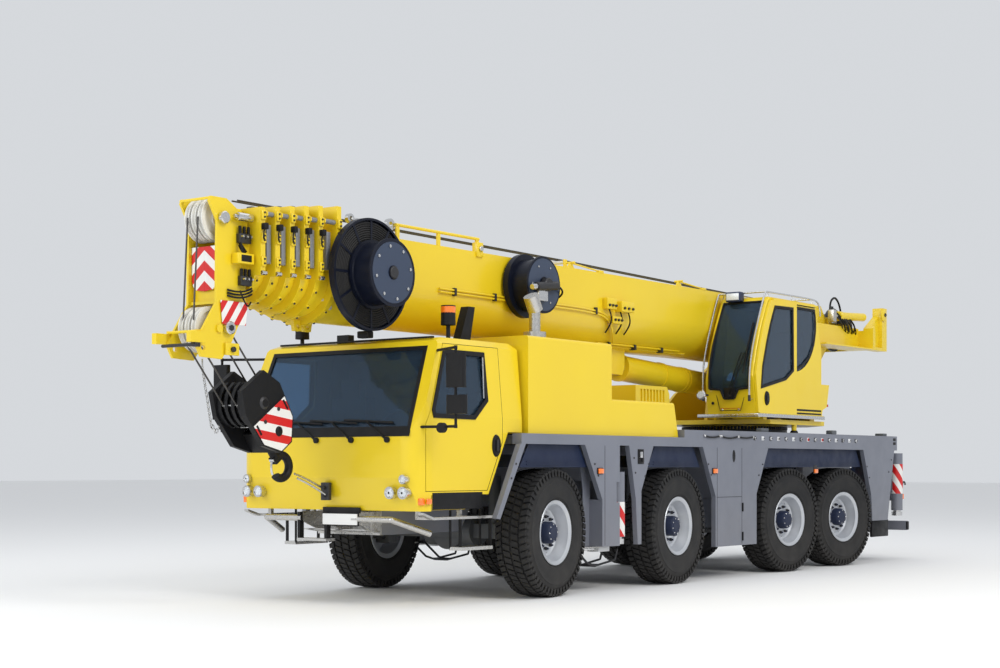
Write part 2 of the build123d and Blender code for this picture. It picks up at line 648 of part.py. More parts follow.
def cab_interior():
    seats = Part()
    floor = CAB_FLOOR_Z + CAB_WALL
    for x in (-620, 620):
        seat = block(x - 180, x + 180, -1500, -1160, floor, 1400)
        seat += block(x - 250, x + 250, -1560, -980, 1399, 1530)
        seat += block(x - 240, x + 240, -1090, -930, 1529, 2150)
        seat += block(x - 130, x + 130, -1060, -960, 2149, 2340)
        seats += seat
    dash = block(-1080, 1080, -2040, -1800, 1380, 1660) + block(-200, 200, -2000, -1700, floor, 1400)
    column = rod_z(30, 1659, 1720, 620, -1850)
    wheel = Pos(620, -1800, 1790) * Rot(60, 0, 0) * Torus(215, 16)
    spoke = Pos(620, -1800, 1790) * Rot(60, 0, 0) * Box(400, 34, 20)
    spoke += Pos(620, -1822, 1750) * Rot(60, 0, 0) * Cylinder(28, 130)
    return seats + (dash + column + spoke + wheel)


# ---------------------------------------------------------------- engine cover and its parts
def engine_cover():
    outline = [
        (COVER_FRONT_Y, COVER_BOTTOM), (COVER_FRONT_Y, COVER_TALL), (COVER_STEP_Y, COVER_TALL),
        (COVER_STEP_Y, COVER_LOW), (COVER_REAR_Y - 100, COVER_LOW), (COVER_REAR_Y, COVER_BOTTOM)]
    inner = [
        (COVER_FRONT_Y + COVER_WALL, COVER_BOTTOM - 5),
        (COVER_FRONT_Y + COVER_WALL, COVER_TALL - COVER_WALL),
        (COVER_STEP_Y - COVER_WALL, COVER_TALL - COVER_WALL),
        (COVER_STEP_Y - COVER_WALL, COVER_LOW - COVER_WALL),
        (COVER_REAR_Y - 100 - COVER_WALL, COVER_LOW - COVER_WALL),
        (COVER_REAR_Y - COVER_WALL, COVER_BOTTOM - 5)]
    shell = side_plate(outline, -COVER_HALF_W, COVER_HALF_W)
    long_edges = [edge for edge in shell.edges().filter_by(Axis.Y) if edge.center().Z > COVER_LOW - 1]
    shell = fillet(long_edges, COVER_EDGE_R)
    shell -= side_plate(inner, -COVER_HALF_W + COVER_WALL, COVER_HALF_W - COVER_WALL)
    # oil cooler's housing on the deck behind it, with louvres in its side
    base = DECK_TOP - DECK_STEP + SEAT_GAP
    cooler = side_plate(
        [
            (COOLER_FRONT_Y, base), (COOLER_FRONT_Y, COOLER_TOP), (COOLER_REAR_Y - 60, COOLER_TOP),
            (COOLER_REAR_Y, COOLER_TOP - 90), (COOLER_REAR_Y, base)],
        COOLER_X0, COOLER_X1)
    for index in range(COOLER_LOUVRES):
        y = COOLER_FRONT_Y + 110 + index * 75
        cooler -= block(COOLER_X1 - 25, COOLER_X1 + 1, y, y + 45, COOLER_TOP - 200, COOLER_TOP - 45)
    return shell + cooler


def engine_block():
    return block(-400, 400, -300, 1000, FRAME_TOP, 2350)


def exhaust_stack():
    x = COVER_HALF_W - EXHAUST_INSET
    y = COVER_FRONT_Y + EXHAUST_BACK
    top = COVER_TALL + EXHAUST_RISE
    stack = rod_z(EXHAUST_R * 2, COVER_TALL, COVER_TALL + 70, x, y)
    stack += rod_z(EXHAUST_R, COVER_TALL + 60, top, x, y)
    elbow = Pos(x, y, top) * Rot(30, 0, 0) * Pos(0, 0, 60) * Cylinder(EXHAUST_R + 20, 180)
    return stack + elbow


def roof_fittings():
    """Beacons, the air intake bracket and the roof lamp."""
    beacon = rod_z(22, CAB_ROOF_Z, 2850, 1020, -1400) + rod_z(75, 2840, 3040, 1020, -1400)
    right = rod_z(22, CAB_ROOF_Z, 2800, -1020, -1400) + rod_z(75, 2790, 2960, -1020, -1400)
    snorkel = side_plate(
        [(-1180, CAB_ROOF_Z), (-1040, 3060), (-930, 3060), (-1010, CAB_ROOF_Z)], 900, 1000)
    lamp = block(-280, -120, -1650, -1560, CAB_ROOF_Z, 2780)
    return beacon + right + snorkel + lamp


def front_bumper():
    """What hangs under the cab's front: belly plate, foot step, guard tubes, sills and ladders."""
    nose = CHASSIS_NOSE_Y
    # bracket between the chassis's nose and the front pieces
    whole = block(-FRAME_HALF_W, FRAME_HALF_W, nose - 30, nose - SEAT_GAP, CHASSIS_NOSE_BOTTOM, 945)
    for x in (-360, -20, 360):
        whole += side_plate(
            [(nose - 29, 720), (nose - 29, 940), (CAB_FRONT_Y + 60, 940), (CAB_FRONT_Y + 60, 840)],
            x - 12, x + 12)
    # slotted belly plate that slopes up to the front
    belly = side_plate(
        [(CAB_FRONT_Y + 150, 752), (CAB_FRONT_Y + 150, 764), (nose - 28, 732), (nose - 28, 720)],
        -FRAME_HALF_W, FRAME_HALF_W)
    for x in range(-360, 361, 120):
        belly -= block(x - 38, x + 38, CAB_FRONT_Y + 180, nose - 70, 700, 800)
    whole += belly
    # foot step
    for x in (STEP_X0, STEP_X1 - 35):
        whole += block(x, x + 35, CAB_FRONT_Y + 30, CAB_FRONT_Y + 90, STEP_Z, 935)
    whole += block(STEP_X0, STEP_X1, CAB_FRONT_Y + 20, CAB_FRONT_Y + 160, STEP_Z, STEP_Z + 26)
    # guard tube on each side, bent back towards the ladder
    inner = (GUARD_TUBE_X0, CAB_FRONT_Y + 56, GUARD_TUBE_Z)
    elbow = (GUARD_TUBE_X1, CAB_FRONT_Y + 56, GUARD_TUBE_Z)
    path = Polyline(inner, elbow, GUARD_TUBE_END)
    tube = sweep(
        Plane(origin=path @ 0, z_dir=path % 0) * Circle(GUARD_TUBE_R), path=path,
        transition=Transition.ROUND)
    whole += both(tube)
    # sill under each recess, with the cab's ladder hung from it
    outer = CAB_HALF_W - 12
    front, top = SILL_HANGER_YS[0], SILL_Z + SILL_T
    sill = side_plate(
        [
            (CAB_FRONT_Y + 95, 948), (CAB_FRONT_Y + 95, 925), (front, SILL_Z), (SILL_REAR_Y, SILL_Z),
            (SILL_REAR_Y, top), (front + 5, top)],
        outer - 60, outer)
    under_cab = CAB_FLOOR_Z - SEAT_GAP
    for y in (LADDER_FRONT_Y, LADDER_REAR_Y):
        sill += block(outer - 46, outer - 14, y - 8, y + 8, LADDER_Z, SILL_Z + 1)
        sill += block(outer - 170, outer - 150, y - 8, y + 8, LADDER_Z, under_cab)
    sill += block(outer - 170, outer, LADDER_FRONT_Y - 8, LADDER_REAR_Y + 8, LADDER_Z, LADDER_Z + 34)
    for y in SILL_HANGER_YS:
        sill += block(SILL_HANGER_X, outer - 59, y, y + 40, SILL_Z, top)
        sill += block(SILL_HANGER_X, SILL_HANGER_X + 40, y, y + 40, SILL_Z, under_cab)
    return whole + both(sill)


MIRROR_ROUND_IN = 145.0         # from the post in to the round kerb mirror
MIRROR_HEADS = [
    # from the post inwards, from the post outwards, low z, high z
    (107, 113, 2167, 2500),
    (102, 130, 1910, 2095),
]


def mirrors():
    """Each side has one post that stands off the front pillar and carries three heads."""
    post_x, post_y = CAB_HALF_W + MIRROR_REACH, MIRROR_Y
    arm = rod_z(MIRROR_TUBE_R, MIRROR_LOW_Z, MIRROR_HIGH_Z, post_x, post_y)
    # the two stays in to the pillar, as (pillar x, pillar y, z)
    high_stay = (CAB_ROOF_HALF_W - 30, CAB_ROOF_FRONT_Y - 5, MIRROR_HIGH_Z)
    low_stay = (CAB_HALF_W - 70, CAB_FRONT_Y + 106, MIRROR_LOW_Z)
    for x, y, z in (high_stay, low_stay):
        run = math.hypot(post_x - x, post_y - y)
        turn = math.degrees(math.atan2(post_y - y, post_x - x))
        stay = Pos(x, y, z) * Rot(0, 0, turn) * Pos(run / 2, 0, 0) * Rot(0, 90, 0) * Cylinder(
            MIRROR_TUBE_R, run)
        arm += stay + rod_z(MIRROR_TUBE_R + 3, z - 17, z + 17, post_x, post_y)
    arm -= cab_hull(0)
    for inward, outward, z0, z1 in MIRROR_HEADS:
        head = block(post_x - inward, post_x + outward, post_y - 34, post_y + 34, z0, z1)
        arm += fillet(head.edges().filter_by(Axis.Z), 26)
    arm += rod_y(50, post_y - 60, post_y - 8, post_x - MIRROR_ROUND_IN, MIRROR_LOW_Z - 12)
    return both(arm)


def lamps():
    cluster = Part()
    # x, z, radius of each round front lamp on the left half
    for x, z, radius in ((1077, 1275, 45), (1077, 1142, 60), (908, 1142, 60)):
        cluster += rod_y(radius, CAB_FRONT_Y - 25, CAB_FRONT_Y + 40, x, z)
    rear = block(900, 1250, LAMP_BOARD_Y, LAMP_BOARD_Y + 60, 900, 1040)
    return (both(cluster) - cab_hull(0)) + both(rear)


# ---------------------------------------------------------------- superstructure
def turntable():
    ring = rod_z(PEDESTAL_R, PEDESTAL_TOP + SEAT_GAP, 1975, 0, SLEW_Y)
    ring -= rod_z(PEDESTAL_R - 90, PEDESTAL_TOP, 1969, 0, SLEW_Y)
    base = floor_plate(
        [(-700, 5000), (560, 5000), (1180, 5250), (1180, 6850), (600, 7500), (-700, 7500)], 1970, 2030)
    x0, x1 = SIDE_PLATE_X, SIDE_PLATE_X + SIDE_PLATE_T
    cheek = side_plate(
        [
            (5000, 2029), (5550, 2420), (6350, 2760), (7300, 3350), (7650, 3420), (8050, 3420),
            (8700, 3480), (CHEEK_REAR_Y, 3480), (CHEEK_REAR_Y, 3200), (8350, 3180), (7650, 2500),
            (7400, 2029)],
        x0, x1)
    for y, z, radius in ((6500, 2400, 140), (7150, 2620, 170)):
        cheek -= rod_x(radius, x0 - 1, x1 + 1, y, z)
    cheek += rod_x(PIVOT_BOSS_R, x1 - 1, x1 + PIVOT_BOSS_T, PIVOT_Y, PIVOT_Z)
    whole = ring + base + both(cheek)
    whole -= rod_x(PIVOT_R + SEAT_GAP, -900, 900, PIVOT_Y, PIVOT_Z)
    # luffing cylinder's bearing
    lug = side_plate(
        [
            (5850, 2029), (5960, LUFF_BASE_Z + 60), (LUFF_BASE_Y, LUFF_BASE_Z + 120),
            (6240, LUFF_BASE_Z + 60), (6350, 2029)],
        130, 180)
    whole += both(lug)
    whole -= rod_x(LUFF_PIN_R + SEAT_GAP, -300, 300, LUFF_BASE_Y, LUFF_BASE_Z)
    # pads under the crane cab
    whole += block(700, 1150, 5100, 5200, 2029, CREW_FLOOR - SEAT_GAP)
    whole += block(700, 1150, 6480, 6600, 2029, CREW_FLOOR - SEAT_GAP)
    # cross walls
    whole += block(-x0 - 1, x0 + 1, 7250, 7300, 2029, 2700)
    whole += block(-x0 - 1, x0 + 1, 9056, 9096, 3201, 3460)
    return whole


def winch():
    drum = rod_x(250, -400, 400, 8720, 3480)
    drum += rod_x(330, -430, -400, 8720, 3480) + rod_x(330, 400, 430, 8720, 3480)
    drum += rod_x(90, -SIDE_PLATE_X + SEAT_GAP, SIDE_PLATE_X - SEAT_GAP, 8720, 3480)
    return drum


def tail_frame():
    """The ballast's carrier across the tail: two ladder chords, an end post on each and a cross beam."""
    frame = block(
        -TAIL_HALF_W, TAIL_HALF_W, CHEEK_REAR_Y + SEAT_GAP, CHEEK_REAR_Y + 80, TAIL_BOTTOM,
        TAIL_BOTTOM + 300)
    side = side_plate(
        [
            (CHEEK_REAR_Y + SEAT_GAP, TAIL_BOTTOM), (CHEEK_REAR_Y + SEAT_GAP, TAIL_TOP - 330),
            (TAIL_REAR_Y - 170, TAIL_TOP - 130), (TAIL_REAR_Y - 170, TAIL_TOP), (TAIL_REAR_Y, TAIL_TOP),
            (TAIL_REAR_Y, TAIL_BOTTOM)],
        TAIL_HALF_W - 160, TAIL_HALF_W)
    side -= block(
        TAIL_HALF_W - 60, TAIL_HALF_W + 1, CHEEK_REAR_Y + 60, TAIL_REAR_Y - 170, TAIL_BOTTOM + 45,
        TAIL_TOP - 100)
    side -= rod_x(55, TAIL_HALF_W - 200, TAIL_HALF_W + 1, TAIL_REAR_Y - 85, TAIL_TOP - 95)
    # chord that runs forward beside the cheek
    chord = block(
        SIDE_PLATE_X + SIDE_PLATE_T + SEAT_GAP, TAIL_HALF_W, 7500, CHEEK_REAR_Y + 1, TAIL_BOTTOM,
        TAIL_BOTTOM + 20)
    chord += block(
        TAIL_HALF_W - 260, TAIL_HALF_W - 240, 7560, CHEEK_REAR_Y + 1, TAIL_BOTTOM, TAIL_TOP - 330)
    for y in (7560, 8050, 8560):
        chord += block(
            SIDE_PLATE_X + SIDE_PLATE_T + SEAT_GAP, TAIL_HALF_W - 240, y, y + 16, TAIL_BOTTOM + 19,
            TAIL_TOP - 360)
    chord -= rod_x(
        PIVOT_BOSS_R + SEAT_GAP, 0, SIDE_PLATE_X + SIDE_PLATE_T + PIVOT_BOSS_T + SEAT_GAP, PIVOT_Y,
        PIVOT_Z)
    return frame + both(side) + both(chord)


def crew_face(g):
    """The crane cab's side view in (y, z), made smaller by g: a bowed windscreen, a hump behind."""
    sill, roof = CREW_FLOOR + g, CREW_ROOF - g
    nose, top_front = CREW_NOSE_Y + g, CREW_ROOF_FRONT_Y + g
    rest = Polyline(
        (top_front, roof), (CREW_ROOF_REAR_Y - g, roof), (CREW_REAR_Y - g, 3034),
        (CREW_REAR_Y - g, 2547 - g), (CREW_TAIL_Y - g, 2547 - g), (CREW_TAIL_Y - 76 - g, 2234),
        (CREW_REAR_Y + 44 - g, 2190), (CREW_REAR_Y + 2 - g, sill), (nose + 75, sill), (nose, CREW_NOSE_Z))
    bow = ThreePointArc((nose, CREW_NOSE_Z), (nose + 175, 3150), (top_front, roof))
    return make_face(rest + bow)


def crew_prism(g, x0, x1):
    return extrude(Plane.YZ.offset(x0) * crew_face(g), x1 - x0)


def crew_screen(y0, y1, shrink=0.0):
    """The windscreen opening in the front view, with the notch where the wiper's motor sits."""
    left, right = CREW_X0 + SCREEN_FRAME + shrink, CREW_X1 - SCREEN_FRAME - shrink
    mid = (left + right) / 2
    low, high, notch = 2430 + shrink, 3590 - shrink, 2296 + shrink
    return front_plate(
        [
            (left, low), (mid - 130, low - 15), (mid - 75, notch), (mid + 75, notch),
            (mid + 130, low - 15), (right, low), (right, high), (left, high)],
        y0, y1)


def rear_pane_outline(x0, x1, shrink=0.0):
    """The pane behind the sliding door, with its bowed lower rear edge."""
    front, top = CREW_POST_Y + 26 + shrink, 3580 - shrink
    edge = Polyline((front, 2690 + shrink), (front, top), (6500 - shrink, top))
    bow = ThreePointArc((6500 - shrink, top), (6478 - shrink, 3085), (front, 2690 + shrink))
    return extrude(Plane.YZ.offset(x0) * make_face(edge + bow), x1 - x0)


def crane_cab():
    shell = crew_prism(0, CREW_X0, CREW_X1)
    # the two bowed edges beside the windscreen are rounded
    bowed = []
    for edge in shell.edges():
        box = edge.bounding_box()
        ahead = box.min.Y < CREW_ROOF_FRONT_Y - 100
        if ahead and box.max.Z > CREW_NOSE_Z + 100 and box.size.X < 1:
            bowed.append(edge)
    shell = fillet(bowed, CREW_CORNER_R)
    shell -= crew_prism(CREW_WALL, CREW_X0 + CREW_WALL, CREW_X1 - CREW_WALL)
    shell -= crew_screen(CREW_NOSE_Y - 60, CREW_ROOF_FRONT_Y + 20)
    # doorway, the pane behind it and the pane on the boom's side
    doorway = crew_prism(CREW_WALL + 60, CREW_X1 - CREW_WALL - 5, CREW_X1 + 5)
    shell -= doorway & block(
        CREW_X1 - 100, CREW_X1 + 10, CREW_NOSE_Y, CREW_POST_Y - 30, CREW_DOOR_BOTTOM, CREW_ROOF)
    shell -= rear_pane_outline(CREW_X1 - CREW_WALL - 5, CREW_X1 + 5)
    shell -= side_plate(
        [(5100, 2500), (5290, 3560), (6300, 3560), (6300, 2500)], CREW_X0 - 5, CREW_X0 + CREW_WALL + 5)
    # rails that the sliding door hangs between
    shell += block(
        CREW_X1 - 1, CREW_DOOR_X - 4, CREW_ROOF_FRONT_Y + 70, CREW_ROOF_REAR_Y, CREW_DOOR_TOP + SEAT_GAP,
        CREW_DOOR_TOP + 30)
    shell += block(
        CREW_X1 - 1, CREW_DOOR_X, CREW_NOSE_Y + 130, CREW_REAR_Y, CREW_FLOOR + 5,
        CREW_DOOR_BOTTOM - SEAT_GAP)
    # sill plate under the whole cab's front and door
    shell += block(
        CREW_X0, CREW_DOOR_X, CREW_NOSE_Y + 75, CREW_NOSE_Y + 115, CREW_FLOOR - 28, CREW_FLOOR + 6)
    return shell


def crane_cab_door():
    x0, x1 = CREW_X1 + RUN_GAP, CREW_DOOR_X
    reach = block(x0, x1, CREW_NOSE_Y, CREW_POST_Y, CREW_DOOR_BOTTOM, CREW_DOOR_TOP)
    door = crew_prism(14, x0, x1) & reach
    window = Polyline((5235, 3541), (5772, 3552), (5784, 2690), (5560, 2560), (4845, 2420))
    bow = ThreePointArc((4845, 2420), (4985, 3010), (5235, 3541))
    pane_face = make_face(window + bow)
    door -= extrude(Plane.YZ.offset(x0 - 5) * pane_face, x1 - x0 + 10)
    door += extrude(Plane.YZ.offset(x0 + 10) * pane_face, GLASS_T)
    return door


def crane_cab_glass():
    front = (crew_prism(4, CREW_X0, CREW_X1) - crew_prism(4 + GLASS_T, CREW_X0 - 1, CREW_X1 + 1))
    front = front & crew_screen(CREW_NOSE_Y - 60, CREW_ROOF_FRONT_Y + 20, SEAT_GAP)
    side = rear_pane_outline(CREW_X1 - 24, CREW_X1 - 14, 1)
    inner = side_plate(
        [(5101, 2501), (5291, 3559), (6299, 3559), (6299, 2501)], CREW_X0 + 14, CREW_X0 + 24)
    return front + side + inner


def crane_cab_seat():
    floor = CREW_FLOOR + CREW_WALL
    seat = block(820, 1040, 5800, 6150, floor, 2500)
    seat += block(680, 1140, 5720, 6220, 2499, 2620)
    seat += block(690, 1130, 6150, 6290, 2619, 3250)
    seat += block(660, 720, 5720, 6100, 2619, 2800) + block(1100, 1160, 5720, 6100, 2619, 2800)
    return seat


# ---------------------------------------------------------------- boom
def boom_section(step):
    """Outline of one boom section in the front view, smaller by step all round."""
    half = BOOM_HALF_W - step
    top = BOOM_HEIGHT_UP - step
    outline = Polyline(
        (-half, 0), (-half, top), (half, top),
        (half, 0)) + ThreePointArc((half, 0), (0, -half), (-half, 0))
    return make_face(outline)


def boom_tube(step, wall, y0, y1):
    """A closed tube of the boom's outline from y0 to y1."""
    outer = Plane.XZ.offset(-y0) * Pos(0, BOOM_MID_Z, 0) * boom_section(step)
    inner = Plane.XZ.offset(-y0) * Pos(0, BOOM_MID_Z, 0) * boom_section(step + wall)
    return extrude(outer, -(y1 - y0)) - extrude(inner, -(y1 - y0))


def boom_fill(step, y0, y1):
    outer = Plane.XZ.offset(-y0) * Pos(0, BOOM_MID_Z, 0) * boom_section(step)
    return extrude(outer, -(y1 - y0))


def collar(index, y):
    """The stiff frame round the mouth of section index, whose bore guides the next section."""
    bore = NEST_STEP * (index + 1) - PAD_GAP
    half = 520 - index * 32
    top = 655 - index * 20
    ring = boom_fill(NEST_STEP * index - 46, y, y + COLLAR_T)
    ring += block(-half, half, y, y + COLLAR_T, BOOM_MID_Z - 90, BOOM_MID_Z + top)
    return ring - boom_fill(bore, y - 1, y + COLLAR_T + 1)


def boom_base():
    tube = boom_tube(0, BOOM_WALL, BOOM_FRONT_Y, BOOM_REAR_Y)
    tube += collar(0, BOOM_FRONT_Y - COLLAR_T)
    # tail with the pivot bosses
    tail = boom_fill(0, BOOM_REAR_Y, PIVOT_Y + 320) - boom_fill(30, BOOM_REAR_Y - 1, PIVOT_Y + 321)
    tube += tail
    for side in (-1, 1):
        tube += rod_x(PIVOT_BOSS_R, side * 400, side * (SIDE_PLATE_X - RUN_GAP), PIVOT_Y, PIVOT_Z)
    tube += rod_x(PIVOT_R, -SIDE_PLATE_X - SIDE_PLATE_T, SIDE_PLATE_X + SIDE_PLATE_T, PIVOT_Y, PIVOT_Z)
    # luffing cylinder's lug
    lug = side_plate(
        [
            (2700, 2960), (2960, LUFF_TOP_Z - 110), (LUFF_TOP_Y + 60, LUFF_TOP_Z - 120),
            (LUFF_TOP_Y + 115, LUFF_TOP_Z - 30), (LUFF_TOP_Y + 125, 2960)],
        LUFF_EYE_HALF_W + RUN_GAP, 150)
    lug = both(lug) - boom_fill(1, 2600, 3800)
    tube += lug
    tube += rod_x(LUFF_PIN_R, -150, 150, LUFF_TOP_Y, LUFF_TOP_Z)
    # rail on the left shoulder that the folded jib is hung from, and the hooks behind it
    top = BOOM_MID_Z + BOOM_HEIGHT_UP
    rail_x = BOOM_HALF_W - 20
    tube += rod_y(17, JIB_RAIL_FRONT_Y, JIB_RAIL_REAR_Y, rail_x, top + JIB_RAIL_RISE)
    for y in (JIB_RAIL_FRONT_Y + 30, (JIB_RAIL_FRONT_Y + JIB_RAIL_REAR_Y) / 2, JIB_RAIL_REAR_Y - 30):
        tube += block(rail_x - 10, rail_x + 10, y - 25, y + 25, top - 1, top + JIB_RAIL_RISE)
    for y in JIB_HOOK_YS:
        tube += side_plate(
            [(y - 60, top - 1), (y - 16, top + 70), (y + 16, top + 70), (y + 60, top - 1)], rail_x - 12,
            rail_x + 12)
        tube += rod_x(13, rail_x - 60, rail_x + 60, y, top + 62)
    # lifting eyes under the mouth
    for y in (BOOM_FRONT_Y - COLLAR_T - 30, BOOM_FRONT_Y + 50):
        eye = side_plate([(y - 70, 2880), (y - 45, 2755), (y + 45, 2755), (y + 70, 2880)], -22, 22)
        tube += (eye - rod_x(22, -30, 30, y, 2800)) - boom_fill(
            BOOM_WALL - 1, BOOM_FRONT_Y - COLLAR_T - 200, BOOM_FRONT_Y + 200)
    return tube


def telescope(index):
    """Telescope 1 is the outermost, and the last one carries the head."""
    step = NEST_STEP * index
    front = BOOM_FRONT_Y - COLLAR_T - index * COLLAR_PITCH
    rear = BOOM_REAR_Y - 40 * index
    tube = boom_tube(step, BOOM_WALL, front, rear)
    shoe = boom_fill(
        NEST_STEP * (index - 1) + BOOM_WALL + PAD_GAP, rear - 120,
        rear) - boom_fill(step + 1, rear - 121, rear + 1)
    tube += shoe
    if index < TELE_COUNT:
        tube += collar(index, front - COLLAR_T)
    return tube


def boom_head():
    """The head's cheeks, cross plates and sheave pins, fused to the last telescope."""
    inner = HEAD_HALF_W - 28
    front = BOOM_FRONT_Y - COLLAR_T - TELE_COUNT * COLLAR_PITCH
    cheek = side_plate(
        [
            (front + 60, 2990), (front + 60, 3560), (-3420, 3780), (-3560, 3830), (-3700, 3915),
            (-3900, 3915), (-3920, 3870), (HEAD_Y - 60, 3700), (HEAD_Y - 70, 2930), (-4010, 2660),
            (-4085, 2530), (-4020, 2415), (-3760, 2405), (-3640, 2560), (-3440, 2930)],
        inner, HEAD_HALF_W)
    head = both(cheek - rod_x(JIB_BORE_R, 0, 400, JIB_BORE_Y, JIB_BORE_Z))
    # cross plates between the cheeks, as (front y, rear y, low z, high z)
    cross = [(-3500, -3470, 2960, 3540), (-3800, -3480, 2925, 2955), (-3760, -3735, 2960, 3420)]
    for y0, y1, z0, z1 in cross:
        head += block(-inner - 1, inner + 1, y0, y1, z0, z1)
    for y, z in ((HEAD_TOP_SHEAVE_Y, HEAD_TOP_SHEAVE_Z), (HEAD_LOW_SHEAVE_Y, HEAD_LOW_SHEAVE_Z)):
        head += rod_x(HEAD_PIN_R, -HEAD_HALF_W - 20, HEAD_HALF_W + 20, y, z)
    guard = rod_x(14, -HEAD_HALF_W, HEAD_HALF_W, -4060, 2650)
    guard += both(block(inner, HEAD_HALF_W, -4075, -3960, 2636, 2664))
    head += guard
    head += rod_x(14, -HEAD_HALF_W, HEAD_HALF_W, -3900, 3898)
    head += both(block(HEAD_HALF_W - 1, HEAD_HALF_W + 60, -4200, -4010, 2540, 2640))
    return head


def sheave(x, bore):
    """A rope sheave about the X axis: a rim with a V groove, a thin web and a hub."""
    bottom = SHEAVE_R - GROOVE_DEPTH
    outline = [
        (x - SHEAVE_HALF_T, bore), (x - SHEAVE_HALF_T, bore + 34), (x - 10, bore + 40),
        (x - 10, bottom - 26), (x - SHEAVE_HALF_T, bottom - 12), (x - SHEAVE_HALF_T, SHEAVE_R),
        (x - GROOVE_HALF_W, SHEAVE_R), (x - 6, bottom), (x + 6, bottom), (x + GROOVE_HALF_W, SHEAVE_R),
        (x + SHEAVE_HALF_T, SHEAVE_R), (x + SHEAVE_HALF_T, bottom - 12), (x + 10, bottom - 26),
        (x + 10, bore + 40), (x + SHEAVE_HALF_T, bore + 34), (x + SHEAVE_HALF_T, bore)]
    return wheel_profile_solid(outline)


def head_sheaves():
    sheaves = Part()
    for y, z in ((HEAD_TOP_SHEAVE_Y, HEAD_TOP_SHEAVE_Z), (HEAD_LOW_SHEAVE_Y, HEAD_LOW_SHEAVE_Z)):
        for x in SHEAVE_XS:
            sheaves += Pos(0, y, z) * sheave(x, HEAD_PIN_R + SEAT_GAP)
    return sheaves


# big hose drum with a spoked flange, and the smaller one, both on the boom's left side
REELS = [
    # y, z, flange radius, drum radius, inner x, outer x, spokes
    (-2100, 3320, 563, 310, 525, 880, 12),
    (600, 3440, 360, 290, 470, 790, 0),
]
REEL_COIL_T = 60.0              # width of the wound hose
REEL_RIM_T = 28.0
REEL_HUB_R = 70.0


def hose_reels():
    reels = Part()
    for y, z, flange, drum, x0, x1, spokes in REELS:
        reel = rod_x(flange - 35, x0, x0 + REEL_COIL_T, 0, 0)
        front = x0 + REEL_COIL_T - 1
        rim = rod_x(flange, x0 + 15, front + REEL_RIM_T, 0, 0)
        if spokes:
            rim -= rod_x(flange - 24, x0, front + REEL_RIM_T + 1, 0, 0)
            reel += rod_x(flange - 20, x0 + 25, x0 + 35, 0, 0)
        reel += rim
        for index in range(spokes):
            spoke = block(front, front + 16, -13, 13, drum - 10, flange - 12)
            reel += Rot(360 / spokes * index, 0, 0) * spoke
        reel += rod_x(drum, front, x1 - 20, 0, 0)
        reel += rod_x(drum + 30, x1 - 21, x1, 0, 0)
        reel += rod_x(REEL_HUB_R, x1 - 1, x1 + 14, 0, 0)
        reel += rod_x(REEL_HUB_R, BOOM_HALF_W + SEAT_GAP, x0 + 1, 0, 0)
        reels += Pos(0, y, z) * reel
    return reels


# ---------------------------------------------------------------- luffing cylinder
LUFF_LEN = math.hypot(LUFF_BASE_Y - LUFF_TOP_Y, LUFF_TOP_Z - LUFF_BASE_Z)
LUFF_TILT = math.degrees(math.atan2(LUFF_TOP_Z - LUFF_BASE_Z, LUFF_BASE_Y - LUFF_TOP_Y))


def along_luff(shape):
    """From a piece drawn along -Y from the base pin to its place at rest."""
    return Pos(0, LUFF_BASE_Y, LUFF_BASE_Z) * Rot(-LUFF_TILT, 0, 0) * shape


def luff_cylinder():
    mouth = -(LUFF_LEN - 190)
    tube = rod_y(LUFF_TUBE_R, mouth, -300, 0, 0)
    # gland and bands, each as (start along the tube, length, thickness over it)
    for start, length, over in ((0, 45, 12), (960, 60, 10), (1500, 30, 8), (1580, 30, 8)):
        tube += rod_y(LUFF_TUBE_R + over, mouth + start, mouth + start + length, 0, 0)
    tube += rod_x(LUFF_EYE_R - 15, -120, 120, 0, 0) + block(-100, 100, -301, 0, -95, 95)
    tube += rod_x(LUFF_PIN_R, -182, 182, 0, 0)
    tube -= rod_y(LUFF_ROD_R + SEAT_GAP * 2, -LUFF_LEN, -330, 0, 0)
    return along_luff(tube)


def luff_rod():
    rod = rod_y(LUFF_ROD_R, -(LUFF_LEN - LUFF_NECK), -400, 0, 0)
    # the neck is slimmer than the gap between the boom's lugs
    rod += rod_y(LUFF_EYE_HALF_W - 2, -(LUFF_LEN - 60), -(LUFF_LEN - LUFF_NECK - 1), 0, 0)
    rod += rod_x(LUFF_EYE_R, -LUFF_EYE_HALF_W, LUFF_EYE_HALF_W, -LUFF_LEN, 0)
    rod -= rod_x(LUFF_PIN_R + RUN_GAP, -200, 200, -LUFF_LEN, 0)
    return along_luff(rod)


# ---------------------------------------------------------------- hook block
HOOK_TILT = 36.0                # degrees that the block leans back to the cab
HOOK_PIN_Y = -3230.0            # block's sheave pin
HOOK_PIN_Z = 2010.0


def hook_place(shape):
    return Pos(0, HOOK_PIN_Y, HOOK_PIN_Z) * Rot(HOOK_TILT, 0, 0) * shape


